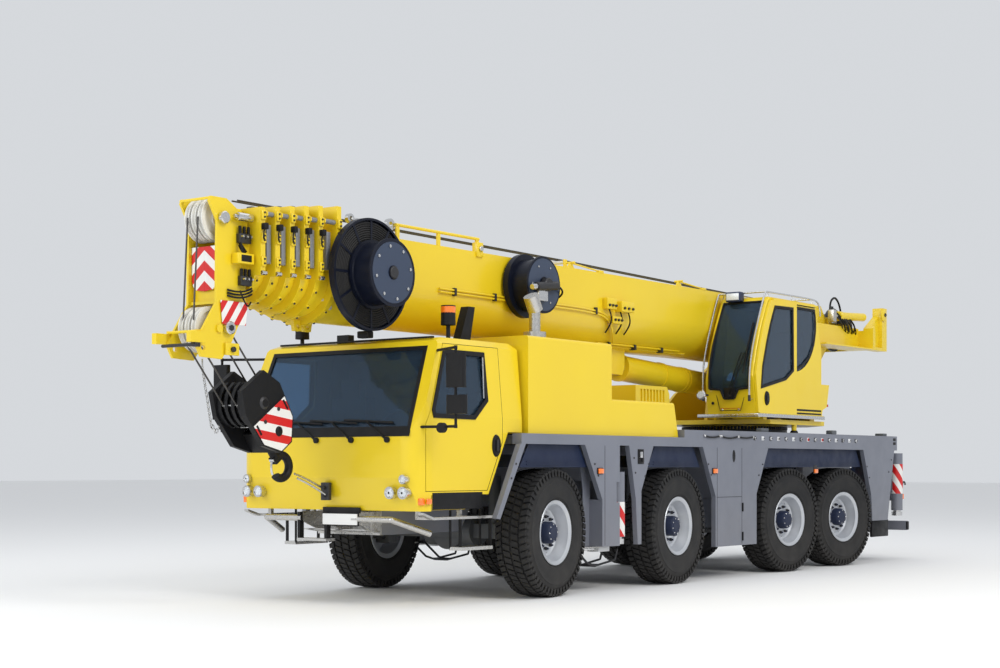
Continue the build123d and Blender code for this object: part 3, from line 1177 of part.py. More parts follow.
def hook_block():
    cheek = side_plate(
        [
            (-270, 40), (-180, 260), (180, 260), (290, 40), (250, -330), (90, -520), (-90, -520),
            (-250, -330)],
        170, 230)
    cheek -= rod_x(60, 160, 240, 0, -330)
    body = both(cheek) + rod_x(HEAD_PIN_R, -245, 245, 0, 0)
    for x in SHEAVE_XS:
        body += sheave(x, HEAD_PIN_R - 1)
    for x in (-129, 129):
        body += rod_x(70, x - 42, x + 42, 0, 0)
    body += rod_x(60, -SHEAVE_XS[2], SHEAVE_XS[2], 0, 0)
    body += block(-171, 171, -90, 90, -520, -300)
    shank = rod_z(45, -640, -500, 0, 0)
    ring = Pos(0, HOOK_EYE_Y, HOOK_EYE_Z) * Rot(0, 90, 0) * Torus(115, 42)
    mouth = block(-80, 80, -200, -20, -790, -600)
    hook = shank + (ring - mouth)
    hook += block(-40, 40, -50, 50, -690, -620)
    return hook_place(body + hook)


def hoist_ropes():
    """The rope's falls, tangent to the lower head sheaves and to the hook block's sheaves."""
    falls = Part()
    dy, dz = HOOK_PIN_Y - HEAD_LOW_SHEAVE_Y, HOOK_PIN_Z - HEAD_LOW_SHEAVE_Z
    length = math.hypot(dy, dz)
    lean = math.degrees(math.atan2(dy, -dz))
    offset = SHEAVE_R - GROOVE_DEPTH + ROPE_R + SEAT_GAP
    for x in FALL_XS:
        for side in (-1, 1):
            fall = rod_z(ROPE_R, -length, 0, x, side * offset)
            falls += Pos(0, HEAD_LOW_SHEAVE_Y, HEAD_LOW_SHEAVE_Z) * Rot(lean, 0, 0) * fall
    return falls


# ---------------------------------------------------------------- write all nodes
frame = carrier_frame() + strut_towers()
write_node("carrier_frame", frame)
write_node("side_panels", side_panels())
write_node("mudguards", mudguards())
write_node("axle_beams", axle_beams())
write_node("driver_cab", driver_cab())
write_node("cab_glass", cab_glass())
write_node("cab_interior", cab_interior())
write_node("engine_cover", engine_cover())
write_node("engine_block", engine_block())
write_node("exhaust_stack", exhaust_stack())
write_node("roof_fittings", roof_fittings())
write_node("front_bumper", front_bumper())
write_node("mirrors", mirrors())
write_node("lamps", lamps())
for name, side in (("left", 1), ("right", -1)):
    write_node(f"cab_door_{name}", cab_door(side))

for number, y, steer in WHEELS:
    for name, side in (("left", 1), ("right", -1)):
        write_node(f"knuckle_{number}_{name}", placed(knuckle(), side, y, steer))
        wheel = Compound(children=[tyre(), rim()])
        write_node(f"wheel_{number}_{name}", placed(wheel, side, y, steer))

for place, y in (("front", OUTRIGGER_FRONT_Y), ("rear", OUTRIGGER_REAR_Y)):
    for name, side in (("left", 1), ("right", -1)):
        write_node(f"outrigger_{place}_{name}", outrigger_beam(side, y))
        write_node(f"jack_{place}_{name}", outrigger_jack(side, y))

write_node("turntable", turntable())
write_node("winch", winch())
write_node("tail_frame", tail_frame())
write_node("crane_cab", crane_cab())
write_node("crane_cab_glass", crane_cab_glass())
write_node("crane_cab_seat", crane_cab_seat())
write_node("crane_cab_door", crane_cab_door())
write_node("boom_base", boom_base())
write_node("hose_reels", hose_reels())
for index in range(1, TELE_COUNT + 1):
    section = telescope(index)
    if index == TELE_COUNT:
        section = section + boom_head()
    write_node(f"telescope_{index}", section)
write_node("head_sheaves", head_sheaves())
write_node("luff_cylinder", luff_cylinder())
write_node("luff_rod", luff_rod())
write_node("hook_block", hook_block())
write_node("hoist_ropes", hoist_ropes())
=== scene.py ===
# %% [markdown]
# # Dressing a mobile crane in Blender
# The crane is a four-axle carrier with a telescopic boom. Its working parts come from a CAD model that is
# packed with its joints, so every wheel, door, outrigger and boom section is already in place and in
# metres. This lesson loads those parts, gives each one its real finish, and adds what the CAD leaves out:
# tyre tread, bolts, hoses, rails, lamps and wipers. The boom head points towards -Y, +X is the crane's left
# side and the ground is z = 0.

# %% Load the CAD parts
import math

import bpy
from mathutils import Matrix, Vector


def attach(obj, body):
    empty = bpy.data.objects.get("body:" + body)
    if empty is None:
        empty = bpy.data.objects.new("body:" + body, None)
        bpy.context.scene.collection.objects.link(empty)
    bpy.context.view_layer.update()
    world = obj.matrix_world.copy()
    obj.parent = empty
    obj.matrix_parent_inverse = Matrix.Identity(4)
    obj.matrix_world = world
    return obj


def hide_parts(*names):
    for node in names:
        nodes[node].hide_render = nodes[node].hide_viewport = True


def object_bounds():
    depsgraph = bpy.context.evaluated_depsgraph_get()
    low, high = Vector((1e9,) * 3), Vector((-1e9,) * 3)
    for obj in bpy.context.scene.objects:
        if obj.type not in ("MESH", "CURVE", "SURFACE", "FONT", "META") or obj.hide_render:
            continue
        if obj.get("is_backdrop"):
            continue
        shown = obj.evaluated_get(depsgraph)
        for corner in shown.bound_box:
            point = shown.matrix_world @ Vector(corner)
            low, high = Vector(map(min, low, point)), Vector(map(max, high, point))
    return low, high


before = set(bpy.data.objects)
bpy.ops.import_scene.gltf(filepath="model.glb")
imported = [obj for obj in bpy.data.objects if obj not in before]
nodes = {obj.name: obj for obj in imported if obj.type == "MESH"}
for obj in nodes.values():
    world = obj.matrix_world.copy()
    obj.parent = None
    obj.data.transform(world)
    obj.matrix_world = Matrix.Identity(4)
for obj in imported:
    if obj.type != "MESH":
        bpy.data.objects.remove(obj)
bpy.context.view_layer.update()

# %% [markdown]
# ## The camera
# A level camera keeps the crane's uprights upright. A real view camera slides its lens up to do that, and
# Blender's shift does the same, so the camera needs no tilt. It stands low, ahead of the crane and to its
# left.

# %% Camera
camera_data = bpy.data.cameras.new("camera")
camera_data.lens = 60.02
camera_data.sensor_width = 36.0
camera_data.shift_y = 0.1322
camera_data.clip_end = 400.0
camera = bpy.data.objects.new("camera", camera_data)
camera.location = (11.643, -17.341, 1.405)
camera.rotation_euler = (math.radians(90), 0, math.radians(36.96))
bpy.context.scene.collection.objects.link(camera)
bpy.context.scene.camera = camera
print("camera at", tuple(round(v, 2) for v in camera.location), "lens", camera_data.lens)

# %% [markdown]
# ## Floor and light
# The floor is one large pale sheet, so wide that it ends at the horizon without an edge. Glossy paint looks
# like paint only when it has something broad to mirror, so the main lights are big soft panels instead of
# small lamps: one high on the camera's right, one on its left, and a wide one overhead. The pale world
# fills the shadows.

# %% Floor
def deselect_all():
    """Nothing stays selected, so that the next operator acts on its own piece alone."""
    if bpy.context.object and bpy.context.object.mode != "OBJECT":
        bpy.ops.object.mode_set(mode="OBJECT")
    bpy.ops.object.select_all(action="DESELECT")


deselect_all()
bpy.ops.mesh.primitive_plane_add(size=240, location=(0, 0, -0.002))
floor = bpy.context.object
floor.name = "studio_floor"
floor_paint = bpy.data.materials.new("studio_floor")
floor_paint.use_nodes = True
floor_shader = floor_paint.node_tree.nodes["Principled BSDF"]
floor_shader.inputs["Base Color"].default_value = (0.86, 0.86, 0.86, 1)
floor_shader.inputs["Roughness"].default_value = 0.75
floor.data.materials.append(floor_paint)
floor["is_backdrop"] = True
print("floor", floor.dimensions[:])

# %% Lights
world = bpy.data.worlds.new("studio")
bpy.context.scene.world = world
world.use_nodes = True
sky = world.node_tree.nodes["Background"]
sky.inputs["Color"].default_value = (0.93, 0.96, 1.0, 1)
sky.inputs["Strength"].default_value = 0.72


def soft_panel(name, place, target, width, height, power, colour=(1, 1, 1)):
    """A rectangular light that faces a point."""
    light = bpy.data.lights.new(name, "AREA")
    light.shape = "RECTANGLE"
    light.size = width
    light.size_y = height
    light.energy = power
    light.color = colour
    lamp = bpy.data.objects.new(name, light)
    lamp.location = place
    lamp.rotation_euler = (Vector(target) - Vector(place)).to_track_quat("-Z", "Y").to_euler()
    bpy.context.scene.collection.objects.link(lamp)


soft_panel("key_panel", (17, -6, 15), (0, 0, 1.5), 10, 8, 2100, (1, 0.98, 0.95))
soft_panel("front_panel", (-4, -20, 9), (0, -2, 1.5), 14, 8, 1250, (0.95, 0.98, 1))
soft_panel("roof_panel", (0, 2, 20), (0, 0, 0), 16, 24, 800)
print("lights", len(bpy.data.lights))

# %% [markdown]
# ## Finishes
# Every finish is a Principled shader whose plain numbers sit on its own sockets. What varies over the
# surface comes from noise that reads Object coordinates: all pieces sit at the origin with their place in
# their mesh, so one noise runs over the whole crane in metres and never slides when a piece moves.

# %% A plain finish to start from
bpy.context.scene.view_settings.view_transform = "Standard"


def finish(name, colour, roughness=0.5, metallic=0.0):
    """A new material with its base colour, roughness and metal set on the shader."""
    material = bpy.data.materials.new(name)
    material.use_nodes = True
    shader = shader_of(material)
    shader.inputs["Base Color"].default_value = (*colour, 1)
    shader.inputs["Roughness"].default_value = roughness
    shader.inputs["Metallic"].default_value = metallic
    return material


def shader_of(material):
    return material.node_tree.nodes["Principled BSDF"]


def speckle(material, scale, detail=3.0):
    """Noise over the crane, as a value from 0 to 1."""
    tree = material.node_tree
    place = tree.nodes.new("ShaderNodeTexCoord")
    noise = tree.nodes.new("ShaderNodeTexNoise")
    noise.inputs["Scale"].default_value = scale
    noise.inputs["Detail"].default_value = detail
    tree.links.new(place.outputs["Object"], noise.inputs["Vector"])
    return noise.outputs["Fac"]


def spread(material, value, low, high, to_low, to_high):
    """A value from one range laid over another."""
    node = material.node_tree.nodes.new("ShaderNodeMapRange")
    for socket, number in (("From Min", low), ("From Max", high), ("To Min", to_low), ("To Max", to_high)):
        node.inputs[socket].default_value = number
    material.node_tree.links.new(value, node.inputs["Value"])
    return node.outputs["Result"]


def reckon(material, operation, value, other):
    """One sum with a value and a number, or with two values."""
    node = material.node_tree.nodes.new("ShaderNodeMath")
    node.operation = operation
    material.node_tree.links.new(value, node.inputs[0])
    if isinstance(other, float):
        node.inputs[1].default_value = other
    else:
        material.node_tree.links.new(other, node.inputs[1])
    return node.outputs[0]


print("finish() makes a material, speckle(), spread() and reckon() vary it")

# %% What makes a finish look used
def tinted(material, second, share):
    """The base colour gives way to a second colour by a share from 0 to 1."""
    tree = material.node_tree
    mix = tree.nodes.new("ShaderNodeMix")
    mix.data_type = "RGBA"
    first_in, second_in = mix.inputs[6], mix.inputs[7]
    base = shader_of(material).inputs["Base Color"]
    if base.is_linked:
        tree.links.new(base.links[0].from_socket, first_in)
    else:
        first_in.default_value = base.default_value
    second_in.default_value = (*second, 1)
    tree.links.new(share, mix.inputs[0])
    tree.links.new(mix.outputs[2], base)
    return material


def mottled(material, second, scale, strength=1.0):
    """The base colour drifts to a second colour in soft patches."""
    return tinted(material, second, spread(material, speckle(material, scale), 0.35, 0.65, 0, strength))


ROAD_DUST = (0.21, 0.19, 0.165)


def dusty(material, top, bottom, strength):
    """Road dust that thickens from a height down to the ground, in patches."""
    tree = material.node_tree
    place = tree.nodes.new("ShaderNodeTexCoord")
    split = tree.nodes.new("ShaderNodeSeparateXYZ")
    tree.links.new(place.outputs["Object"], split.inputs[0])
    depth = spread(material, split.outputs["Z"], top, bottom, 0, strength)
    patches = spread(material, speckle(material, 4.0, 5.0), 0.3, 0.7, 0.35, 1)
    return tinted(material, ROAD_DUST, reckon(material, "MULTIPLY", depth, patches))


def uneven_gloss(material, scale, low, high):
    """Roughness that wanders between two values."""
    source = spread(material, speckle(material, scale, 4.0), 0.3, 0.7, low, high)
    material.node_tree.links.new(source, shader_of(material).inputs["Roughness"])
    return material


def grained(material, scale, strength, depth=0.001):
    """Fine relief: orange peel in paint, casting skin, the grain of rubber."""
    tree = material.node_tree
    bump = tree.nodes.new("ShaderNodeBump")
    bump.inputs["Strength"].default_value = strength
    bump.inputs["Distance"].default_value = depth
    tree.links.new(speckle(material, scale), bump.inputs["Height"])
    tree.links.new(bump.outputs["Normal"], shader_of(material).inputs["Normal"])
    return material


def less_mirror(material, level):
    """A duller surface: less of the room is mirrored, so a black stays black."""
    shader_of(material).inputs["Specular IOR Level"].default_value = level
    return material


def lacquered(material, weight, roughness):
    """A clear coat over the colour."""
    shader_of(material).inputs["Coat Weight"].default_value = weight
    shader_of(material).inputs["Coat Roughness"].default_value = roughness
    return material


print("mottled, dusty, uneven_gloss, grained, less_mirror and lacquered are ready")

# %% [markdown]
# ### Paint, rubber and metal
# The bodywork is a deep warm yellow under clear lacquer, and the carrier's sides are a blue grey. Both are
# sprayed, so a fine orange-peel relief breaks their reflections, and the gloss is a little uneven where
# they were wiped. The lower a piece sits, the more road dust it carries.

# %% Paints
yellow = lacquered(finish("crane_yellow", (0.80, 0.585, 0.010), 0.34), 0.26, 0.08)
mottled(yellow, (0.77, 0.550, 0.012), 0.9, 0.7)
grained(uneven_gloss(yellow, 3.0, 0.28, 0.42), 260, 0.06, 0.0006)

grey = lacquered(finish("carrier_grey", (0.150, 0.162, 0.200), 0.42), 0.25, 0.15)
dusty(mottled(grey, (0.170, 0.182, 0.222), 1.1), 1.3, 0.2, 0.30)
grained(uneven_gloss(grey, 5.0, 0.36, 0.52), 300, 0.08, 0.0006)

guard = less_mirror(finish("guard_navy", (0.009, 0.017, 0.048), 0.45), 0.30)
dusty(grained(uneven_gloss(guard, 6.0, 0.38, 0.6), 180, 0.15), 1.4, 0.3, 0.07)

axle_paint = finish("axle_grey", (0.085, 0.094, 0.105), 0.55)
dusty(grained(uneven_gloss(axle_paint, 7.0, 0.45, 0.7), 120, 0.3), 1.2, 0.1, 0.5)

lamp_blue = uneven_gloss(finish("lamp_blue", (0.016, 0.026, 0.070), 0.35), 8.0, 0.25, 0.4)
cover_blue = uneven_gloss(finish("cover_blue", (0.030, 0.046, 0.085), 0.4), 6.0, 0.30, 0.45)
print("paints ready:", yellow.name, grey.name, guard.name, axle_paint.name, lamp_blue.name, cover_blue.name)

# %% Rubber, plastic and glass
rubber = less_mirror(finish("tyre_rubber", (0.0105, 0.0105, 0.0115), 0.70), 0.35)
dusty(grained(mottled(rubber, (0.022, 0.021, 0.020), 6.0, 0.7), 220, 0.35), 1.0, 0.0, 0.10)

black_trim = less_mirror(finish("black_trim", (0.0065, 0.0065, 0.0075), 0.5), 0.25)
grained(uneven_gloss(black_trim, 9.0, 0.42, 0.62), 420, 0.25, 0.0005)

reel_navy = less_mirror(finish("reel_navy", (0.004, 0.006, 0.015), 0.4), 0.25)
grained(uneven_gloss(reel_navy, 8.0, 0.32, 0.5), 300, 0.12)

nylon = finish("sheave_nylon", (0.74, 0.73, 0.69), 0.48)
grained(mottled(nylon, (0.60, 0.58, 0.52), 14.0, 0.6), 200, 0.1)

plate_white = grained(finish("plate_white", (0.78, 0.78, 0.76), 0.4), 600, 0.1, 0.0004)
coupling_white = grained(finish("coupling_white", (0.72, 0.73, 0.74), 0.4), 300, 0.1)

cab_lining = mottled(finish("cab_lining", (0.030, 0.032, 0.036), 0.7), (0.020, 0.021, 0.024), 5.0)
grained(cab_lining, 500, 0.2, 0.0006)
seat_cloth = grained(finish("seat_cloth", (0.035, 0.037, 0.042), 0.9), 900, 0.5)

cab_pane = uneven_gloss(finish("cab_pane", (0.20, 0.32, 0.46), 0.02), 2.0, 0.01, 0.03)
shader_of(cab_pane).inputs["Transmission Weight"].default_value = 0.92
shader_of(cab_pane).inputs["IOR"].default_value = 1.45
# the blue Specular Tint is painted reflection: it gives what the panes mirror the blue of a sky
shader_of(cab_pane).inputs["Specular Tint"].default_value = (0.42, 0.56, 0.78, 1)
print("rubber, plastic and glass ready, materials so far:", len(bpy.data.materials))

# %% Metals
def brushed(name, colour, low, high, metallic=1.0):
    """Bare metal with a wandering gloss and a fine relief."""
    return grained(uneven_gloss(finish(name, colour, low, metallic), 40, low, high), 240, 0.12, 0.0005)


dark_steel = brushed("dark_steel", (0.045, 0.045, 0.048), 0.38, 0.6, 0.6)
bright_steel = brushed("bright_steel", (0.62, 0.62, 0.62), 0.16, 0.32)
stainless = brushed("stainless", (0.55, 0.54, 0.52), 0.22, 0.4)
rope_wire = brushed("rope_wire", (0.10, 0.095, 0.09), 0.45, 0.65)
rim_silver = brushed("rim_silver", (0.52, 0.54, 0.58), 0.30, 0.45, 0.55)
dusty(mottled(rim_silver, (0.55, 0.57, 0.60), 5.0), 1.0, 0.1, 0.12)
engine_cast = mottled(finish("engine_cast", (0.10, 0.11, 0.12), 0.6, 0.3), (0.05, 0.05, 0.055), 6.0)
grained(engine_cast, 90, 0.5)
slide_grey = finish("slide_grey", (0.23, 0.24, 0.26), 0.42, 0.35)
grained(uneven_gloss(slide_grey, 6.0, 0.34, 0.5), 220, 0.12)
print("metals ready, materials so far:", len(bpy.data.materials))

# %% Lamps
def lit_plastic(name, colour, glow):
    """Clear coloured plastic over a reflector: glossy, and a touch of light of its own."""
    lens = lacquered(finish(name, colour, 0.25), 1.0, 0.03)
    shader_of(lens).inputs["Emission Color"].default_value = (*colour, 1)
    shader_of(lens).inputs["Emission Strength"].default_value = glow
    return mottled(lens, tuple(0.55 * part for part in colour), 60.0, 0.5)


amber_lens = lit_plastic("amber_lens", (0.95, 0.20, 0.01), 0.10)
clear_lens = lit_plastic("clear_lens", (0.70, 0.74, 0.78), 0.05)
red_lens = lit_plastic("red_lens", (0.55, 0.012, 0.01), 0.06)
print("lenses ready:", amber_lens.name, clear_lens.name, red_lens.name)

# %% [markdown]
# ### Warning stripes
# Red and white boards mark the ends of the crane and its outriggers. The stripes are cut by a sum of the
# Object coordinates that runs across the board, folded by a modulo, so they stay on the board wherever it
# moves.

# %% Striped boards
STRIPE_RED, STRIPE_WHITE = (0.62, 0.012, 0.012), (0.80, 0.79, 0.76)


def striped(name, across, pitch, start):
    """Stripes whose normal is the vector across, one red and white pair to each pitch."""
    board = finish(name, STRIPE_RED, 0.35)
    tree = board.node_tree
    place = tree.nodes.new("ShaderNodeTexCoord")
    along = tree.nodes.new("ShaderNodeVectorMath")
    along.operation = "DOT_PRODUCT"
    along.inputs[1].default_value = across
    tree.links.new(place.outputs["Object"], along.inputs[0])
    # a thousand pitches more keep the modulo's value above zero everywhere
    shifted = reckon(board, "ADD", along.outputs["Value"], start + 1000 * pitch)
    folded = reckon(board, "MODULO", shifted, pitch)
    tinted(board, STRIPE_WHITE, reckon(board, "GREATER_THAN", folded, pitch / 2))
    return grained(uneven_gloss(board, 12.0, 0.28, 0.45), 700, 0.1, 0.0004)


board_left = striped("board_left", (-0.62, 0, 0.78), 0.150, 0.02)
board_right = striped("board_right", (0.62, 0, 0.78), 0.150, 0.02)
board_side = striped("board_side", (0, 0.82, -0.57), 0.120, 0.03)
board_jack = striped("board_jack", (0.64, 0.555, 0.53), 0.140, 0.03)
board_hook = striped("board_hook", (0, 0.14, 0.99), 0.165, 0.01)
print("striped boards ready, materials in all:", len(bpy.data.materials))

# %% [markdown]
# ## Finishes on the CAD parts
# Each CAD part keeps its shape and gets one of the finishes. The list below pairs them by the start of the
# part's name, and where two starts fit, the later one counts. The wheels are modelled again further on.

# %% Which finish each CAD part takes
FINISH_OF = [
    ("carrier_frame", grey), ("side_panels", grey), ("mudguards", guard), ("axle_beams", axle_paint),
    ("knuckle_", axle_paint), ("outrigger_", grey), ("jack_", bright_steel), ("driver_cab", yellow),
    ("cab_door_", yellow), ("cab_glass", cab_pane), ("cab_interior", seat_cloth), ("engine_cover", yellow),
    ("engine_block", engine_cast), ("exhaust_stack", stainless), ("roof_fittings", black_trim),
    ("front_bumper", stainless), ("mirrors", black_trim), ("lamps", bright_steel), ("turntable", yellow),
    ("winch", dark_steel), ("tail_frame", yellow), ("crane_cab", yellow), ("crane_cab_door", yellow),
    ("crane_cab_glass", cab_pane), ("crane_cab_seat", seat_cloth), ("boom_base", yellow),
    ("telescope_", yellow), ("head_sheaves", nylon), ("hose_reels", reel_navy), ("luff_cylinder", yellow),
    ("luff_rod", bright_steel), ("hook_block", black_trim), ("hoist_ropes", rope_wire), ("wheel_", rubber),
]


def coat(piece, material):
    """One finish over a whole piece."""
    piece.data.materials.clear()
    piece.data.materials.append(material)
    return piece


for name in nodes:
    for start, material in FINISH_OF:
        if name.startswith(start):
            coat(nodes[name], material)
print("dressed:", len(nodes))

# %% [markdown]
# Cabs and doors are painted outside and lined inside, and the doors carry their own panes. So a rule picks
# those faces of a CAD part by their place and direction, and gives them a second finish. The shape stays as
# it is. Places on the crane are measured from the first axle, so they are shifted to and from the model's
# own middle.

# %% Panes and linings
AXLE_SHIFT = 2.7                     # the first axle stands this far towards -Y from the model's middle


def reface(name, material, chosen):
    """The faces that the rule chooses take a second finish."""
    part = nodes[name]
    part.data.materials.append(material)
    count = 0
    for face in part.data.polygons:
        if chosen(face.center + Vector((0, AXLE_SHIFT, 0)), face.normal):
            face.material_index = len(part.data.materials) - 1
            count += 1
    print(name, "has", count, "faces of", material.name)


def faces_room(centre):
    """A rule for faces that look towards a room's middle."""
    return lambda place, normal: (Vector(centre) - place).dot(normal) > 0


def within(outline):
    """A rule for faces inside an outline of (y, z) corners, seen from the side."""
    def inside(place, normal):
        odd = False
        for (y0, z0), (y1, z1) in zip(outline, outline[1:] + outline[:1]):
            if (z0 > place.z) != (z1 > place.z):
                if place.y < y0 + (y1 - y0) * (place.z - z0) / (z1 - z0):
                    odd = not odd
        return odd
    return inside


def step_legs(place, normal):
    """The upright legs of the front step and of the ladders, but not their treads."""
    front_step = place.y < -2.06 and 0.667 < place.z < 0.936 and -0.396 < place.x < 0.016
    ladder = -1.46 < place.y < -0.93 and 0.587 < place.z < 0.871
    return abs(normal.z) < 0.5 and (front_step or ladder)


DRIVER_ROOM, CREW_ROOM = (0, -1.30, 1.90), (0.86, 5.75, 2.90)
for name in ("driver_cab", "cab_door_left", "cab_door_right"):
    reface(name, cab_lining, faces_room(DRIVER_ROOM))
for name in ("crane_cab", "crane_cab_door"):
    reface(name, cab_lining, faces_room(CREW_ROOM))
reface("front_bumper", black_trim, step_legs)

# %% [markdown]
# ## Workshop helpers
# All new pieces start as a primitive of the right size in the right place, and are then shaped in edit
# mode. A few moves come back again and again: a plate or block with worn edges, a turned bar between two
# points, a bent pipe, a plate cut to an outline. They get one helper each. Every helper ends with the place
# held in the mesh and the object at the origin, so that finishes line up, and fit_out moves each finished
# piece to the model's own middle.

# %% Settle, copy, join and hand a piece over
def settle(piece):
    """The piece's place, turn and scale go into its mesh, and its object goes to the origin."""
    piece.data.transform(piece.matrix_world)
    piece.matrix_world = Matrix.Identity(4)
    return piece


def copy_of(piece, matrix):
    """The same form again, with a mesh of its own, moved by a matrix."""
    again = piece.copy()
    again.data = piece.data.copy()
    again.data.transform(matrix)
    bpy.context.scene.collection.objects.link(again)
    return again


def copied_round(form, count, start=0.0, axis="X"):
    """Copies of a form set evenly round an axis. The form itself goes."""
    ring = [copy_of(form, Matrix.Rotation(start + math.tau * step / count, 4, axis)) for step in range(count)]
    bpy.data.objects.remove(form)
    return ring


def stretched(piece, z, factor):
    """The piece made taller about a height."""
    about = Matrix.Translation((0, 0, z))
    piece.data.transform(about @ Matrix.Scale(factor, 4, (0, 0, 1)) @ about.inverted())
    return piece


def join_up(parts):
    """All parts become one piece, the first one."""
    deselect_all()
    for part in parts:
        part.select_set(True)
    bpy.context.view_layer.objects.active = parts[0]
    if len(parts) > 1:
        bpy.ops.object.join()
    return parts[0]


def fit_out(name, parts, body, smooth=32):
    """Joins the parts to one piece, shades it and lets it ride on its body."""
    piece = join_up(parts)
    piece.data.transform(Matrix.Translation((0, -AXLE_SHIFT, 0)))
    bpy.ops.object.shade_smooth_by_angle(angle=math.radians(smooth))
    piece.name = name
    piece.data.name = name
    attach(piece, body)
    print(name, "rides on", body, "with", len(piece.data.polygons), "faces")
    return piece


SIDES = (("left", 1), ("right", -1))

# %% A block with worn edges
def block(low, high, material, wear=0.004, segments=2):
    """A cube grown to two corners, with every edge bevelled."""
    low, high = Vector(low), Vector(high)
    size = high - low
    deselect_all()
    bpy.ops.mesh.primitive_cube_add(size=1, location=(low + high) / 2, scale=size)
    piece = settle(bpy.context.object)
    wear = min(wear, min(size) * 0.45)
    if wear > 0:
        bpy.ops.object.mode_set(mode="EDIT")
        bpy.ops.mesh.bevel(offset=wear, segments=segments, affect="EDGES")
        bpy.ops.object.mode_set(mode="OBJECT")
    return coat(piece, material)


def side_block(side, x, y, z, material, wear=0.004, segments=2):
    """A block on the left (1) or the right (-1), from pairs of numbers along each axis."""
    low_x, high_x = sorted((side * x[0], side * x[1]))
    return block((low_x, y[0], z[0]), (high_x, y[1], z[1]), material, wear, segments)


# %% A turned bar between two points
def bar(start, end, radius, material, sides=20, wear=0.15, tip=None):
    """A cylinder from start to end with its rims eased. tip makes the far end another radius."""
    start, end = Vector(start), Vector(end)
    span = end - start
    deselect_all()
    if tip is None:
        bpy.ops.mesh.primitive_cylinder_add(vertices=sides, radius=radius, depth=span.length)
    else:
        bpy.ops.mesh.primitive_cone_add(vertices=sides, radius1=radius, radius2=tip, depth=span.length)
    piece = bpy.context.object
    ease = min(radius * wear, span.length * 0.3, radius * 0.45)
    bpy.ops.object.mode_set(mode="EDIT")
    bpy.ops.mesh.select_all(action="DESELECT")
    bpy.ops.object.mode_set(mode="OBJECT")
    for edge in piece.data.edges:
        a, b = (piece.data.vertices[v].co.z for v in edge.vertices)
        edge.select = abs(a - b) < 1e-6
    bpy.ops.object.mode_set(mode="EDIT")
    bpy.ops.mesh.select_mode(type="EDGE")
    bpy.ops.mesh.bevel(offset=ease, segments=1, affect="EDGES")
    bpy.ops.object.mode_set(mode="OBJECT")
    turn = span.to_track_quat("Z", "Y").to_matrix().to_4x4()
    piece.matrix_world = Matrix.Translation((start + end) / 2) @ turn
    return coat(settle(piece), material)


def stub(x0, x1, y, z, radius, material, sides=20, side=1):
    """A short bar across the crane: a bolt head, a pin or a boss."""
    return bar((side * x0, y, z), (side * x1, y, z), radius, material, sides)


# %% A bent pipe
def pipe(points, radius, material, sides=8, bend=3):
    """A round pipe along a smooth line through a few points."""
    deselect_all()
    bpy.ops.curve.primitive_nurbs_path_add()
    piece = bpy.context.object
    line = piece.data
    line.splines.clear()
    spline = line.splines.new("NURBS")
    spline.points.add(len(points) - 1)
    for point, place in zip(spline.points, points):
        point.co = (*place, 1)
    spline.order_u = min(bend, len(points))
    spline.use_endpoint_u = True
    spline.resolution_u = 6
    line.dimensions = "3D"
    line.bevel_depth = radius
    line.bevel_resolution = sides // 4 - 1
    line.use_fill_caps = True
    piece.matrix_world = Matrix.Identity(4)
    bpy.ops.object.convert(target="MESH")
    return coat(settle(bpy.context.object), material)


# %% A plate or a frame cut to an outline
FACING = {"X": Vector((1, 0, 0)), "Y": Vector((0, 1, 0))}


def outline_face(outline):
    """A disc whose rim is pulled to the outline, left selected in edit mode."""
    deselect_all()
    bpy.ops.mesh.primitive_circle_add(vertices=len(outline), radius=1, fill_type="NGON")
    piece = bpy.context.object
    for corner, place in zip(piece.data.vertices, outline):
        corner.co = place
    bpy.ops.object.mode_set(mode="EDIT")
    bpy.ops.mesh.select_all(action="SELECT")
    return piece


def thicken(thickness, facing):
    """What is selected is extruded along its facing, and the closed form's faces are turned outwards."""
    bpy.ops.mesh.extrude_region_move(TRANSFORM_OT_translate={"value": FACING[facing] * thickness})
    bpy.ops.mesh.select_all(action="SELECT")
    bpy.ops.mesh.normals_make_consistent(inside=False)


def plate(outline, thickness, material, facing="X", wear=0.003):
    """A flat plate with eased edges."""
    piece = outline_face(outline)
    thicken(thickness, facing)
    if wear > 0:
        bpy.ops.mesh.bevel(offset=min(wear, abs(thickness) * 0.4), segments=1, affect="EDGES")
    bpy.ops.object.mode_set(mode="OBJECT")
    return coat(settle(piece), material)


def ring_frame(outline, inward, thickness, material, facing="X"):
    """A flat frame: the outline's face is inset, its middle deleted, and the ring left is given thickness."""
    piece = outline_face(outline)
    bpy.ops.mesh.select_mode(type="FACE")
    bpy.ops.mesh.select_all(action="SELECT")
    bpy.ops.mesh.inset(thickness=inward, use_even_offset=True)
    bpy.ops.mesh.delete(type="ONLY_FACE")
    bpy.ops.mesh.select_all(action="SELECT")
    thicken(thickness, facing)
    bpy.ops.object.mode_set(mode="OBJECT")
    return coat(settle(piece), material)


# %% A turned profile
def turned(profile, axis_point, axis, material, steps=48):
    """A lathe-turned ring or disc. profile holds (along the axis, radius) pairs, spun about the axis."""
    axis = Vector(axis).normalized()
    side = axis.orthogonal().normalized()
    deselect_all()
    bpy.ops.mesh.primitive_circle_add(vertices=len(profile), radius=1, fill_type="NOTHING")
    piece = bpy.context.object
    for corner, (along, radius) in zip(piece.data.vertices, profile):
        corner.co = Vector(axis_point) + axis * along + side * radius
    bpy.ops.object.mode_set(mode="EDIT")
    bpy.ops.mesh.select_all(action="SELECT")
    bpy.ops.mesh.spin(steps=steps, angle=math.tau, center=axis_point, axis=axis)
    bpy.ops.mesh.select_all(action="SELECT")
    bpy.ops.mesh.remove_doubles(threshold=0.0002)
    bpy.ops.mesh.normals_make_consistent(inside=False)
    bpy.ops.object.mode_set(mode="OBJECT")
    return coat(settle(piece), material)


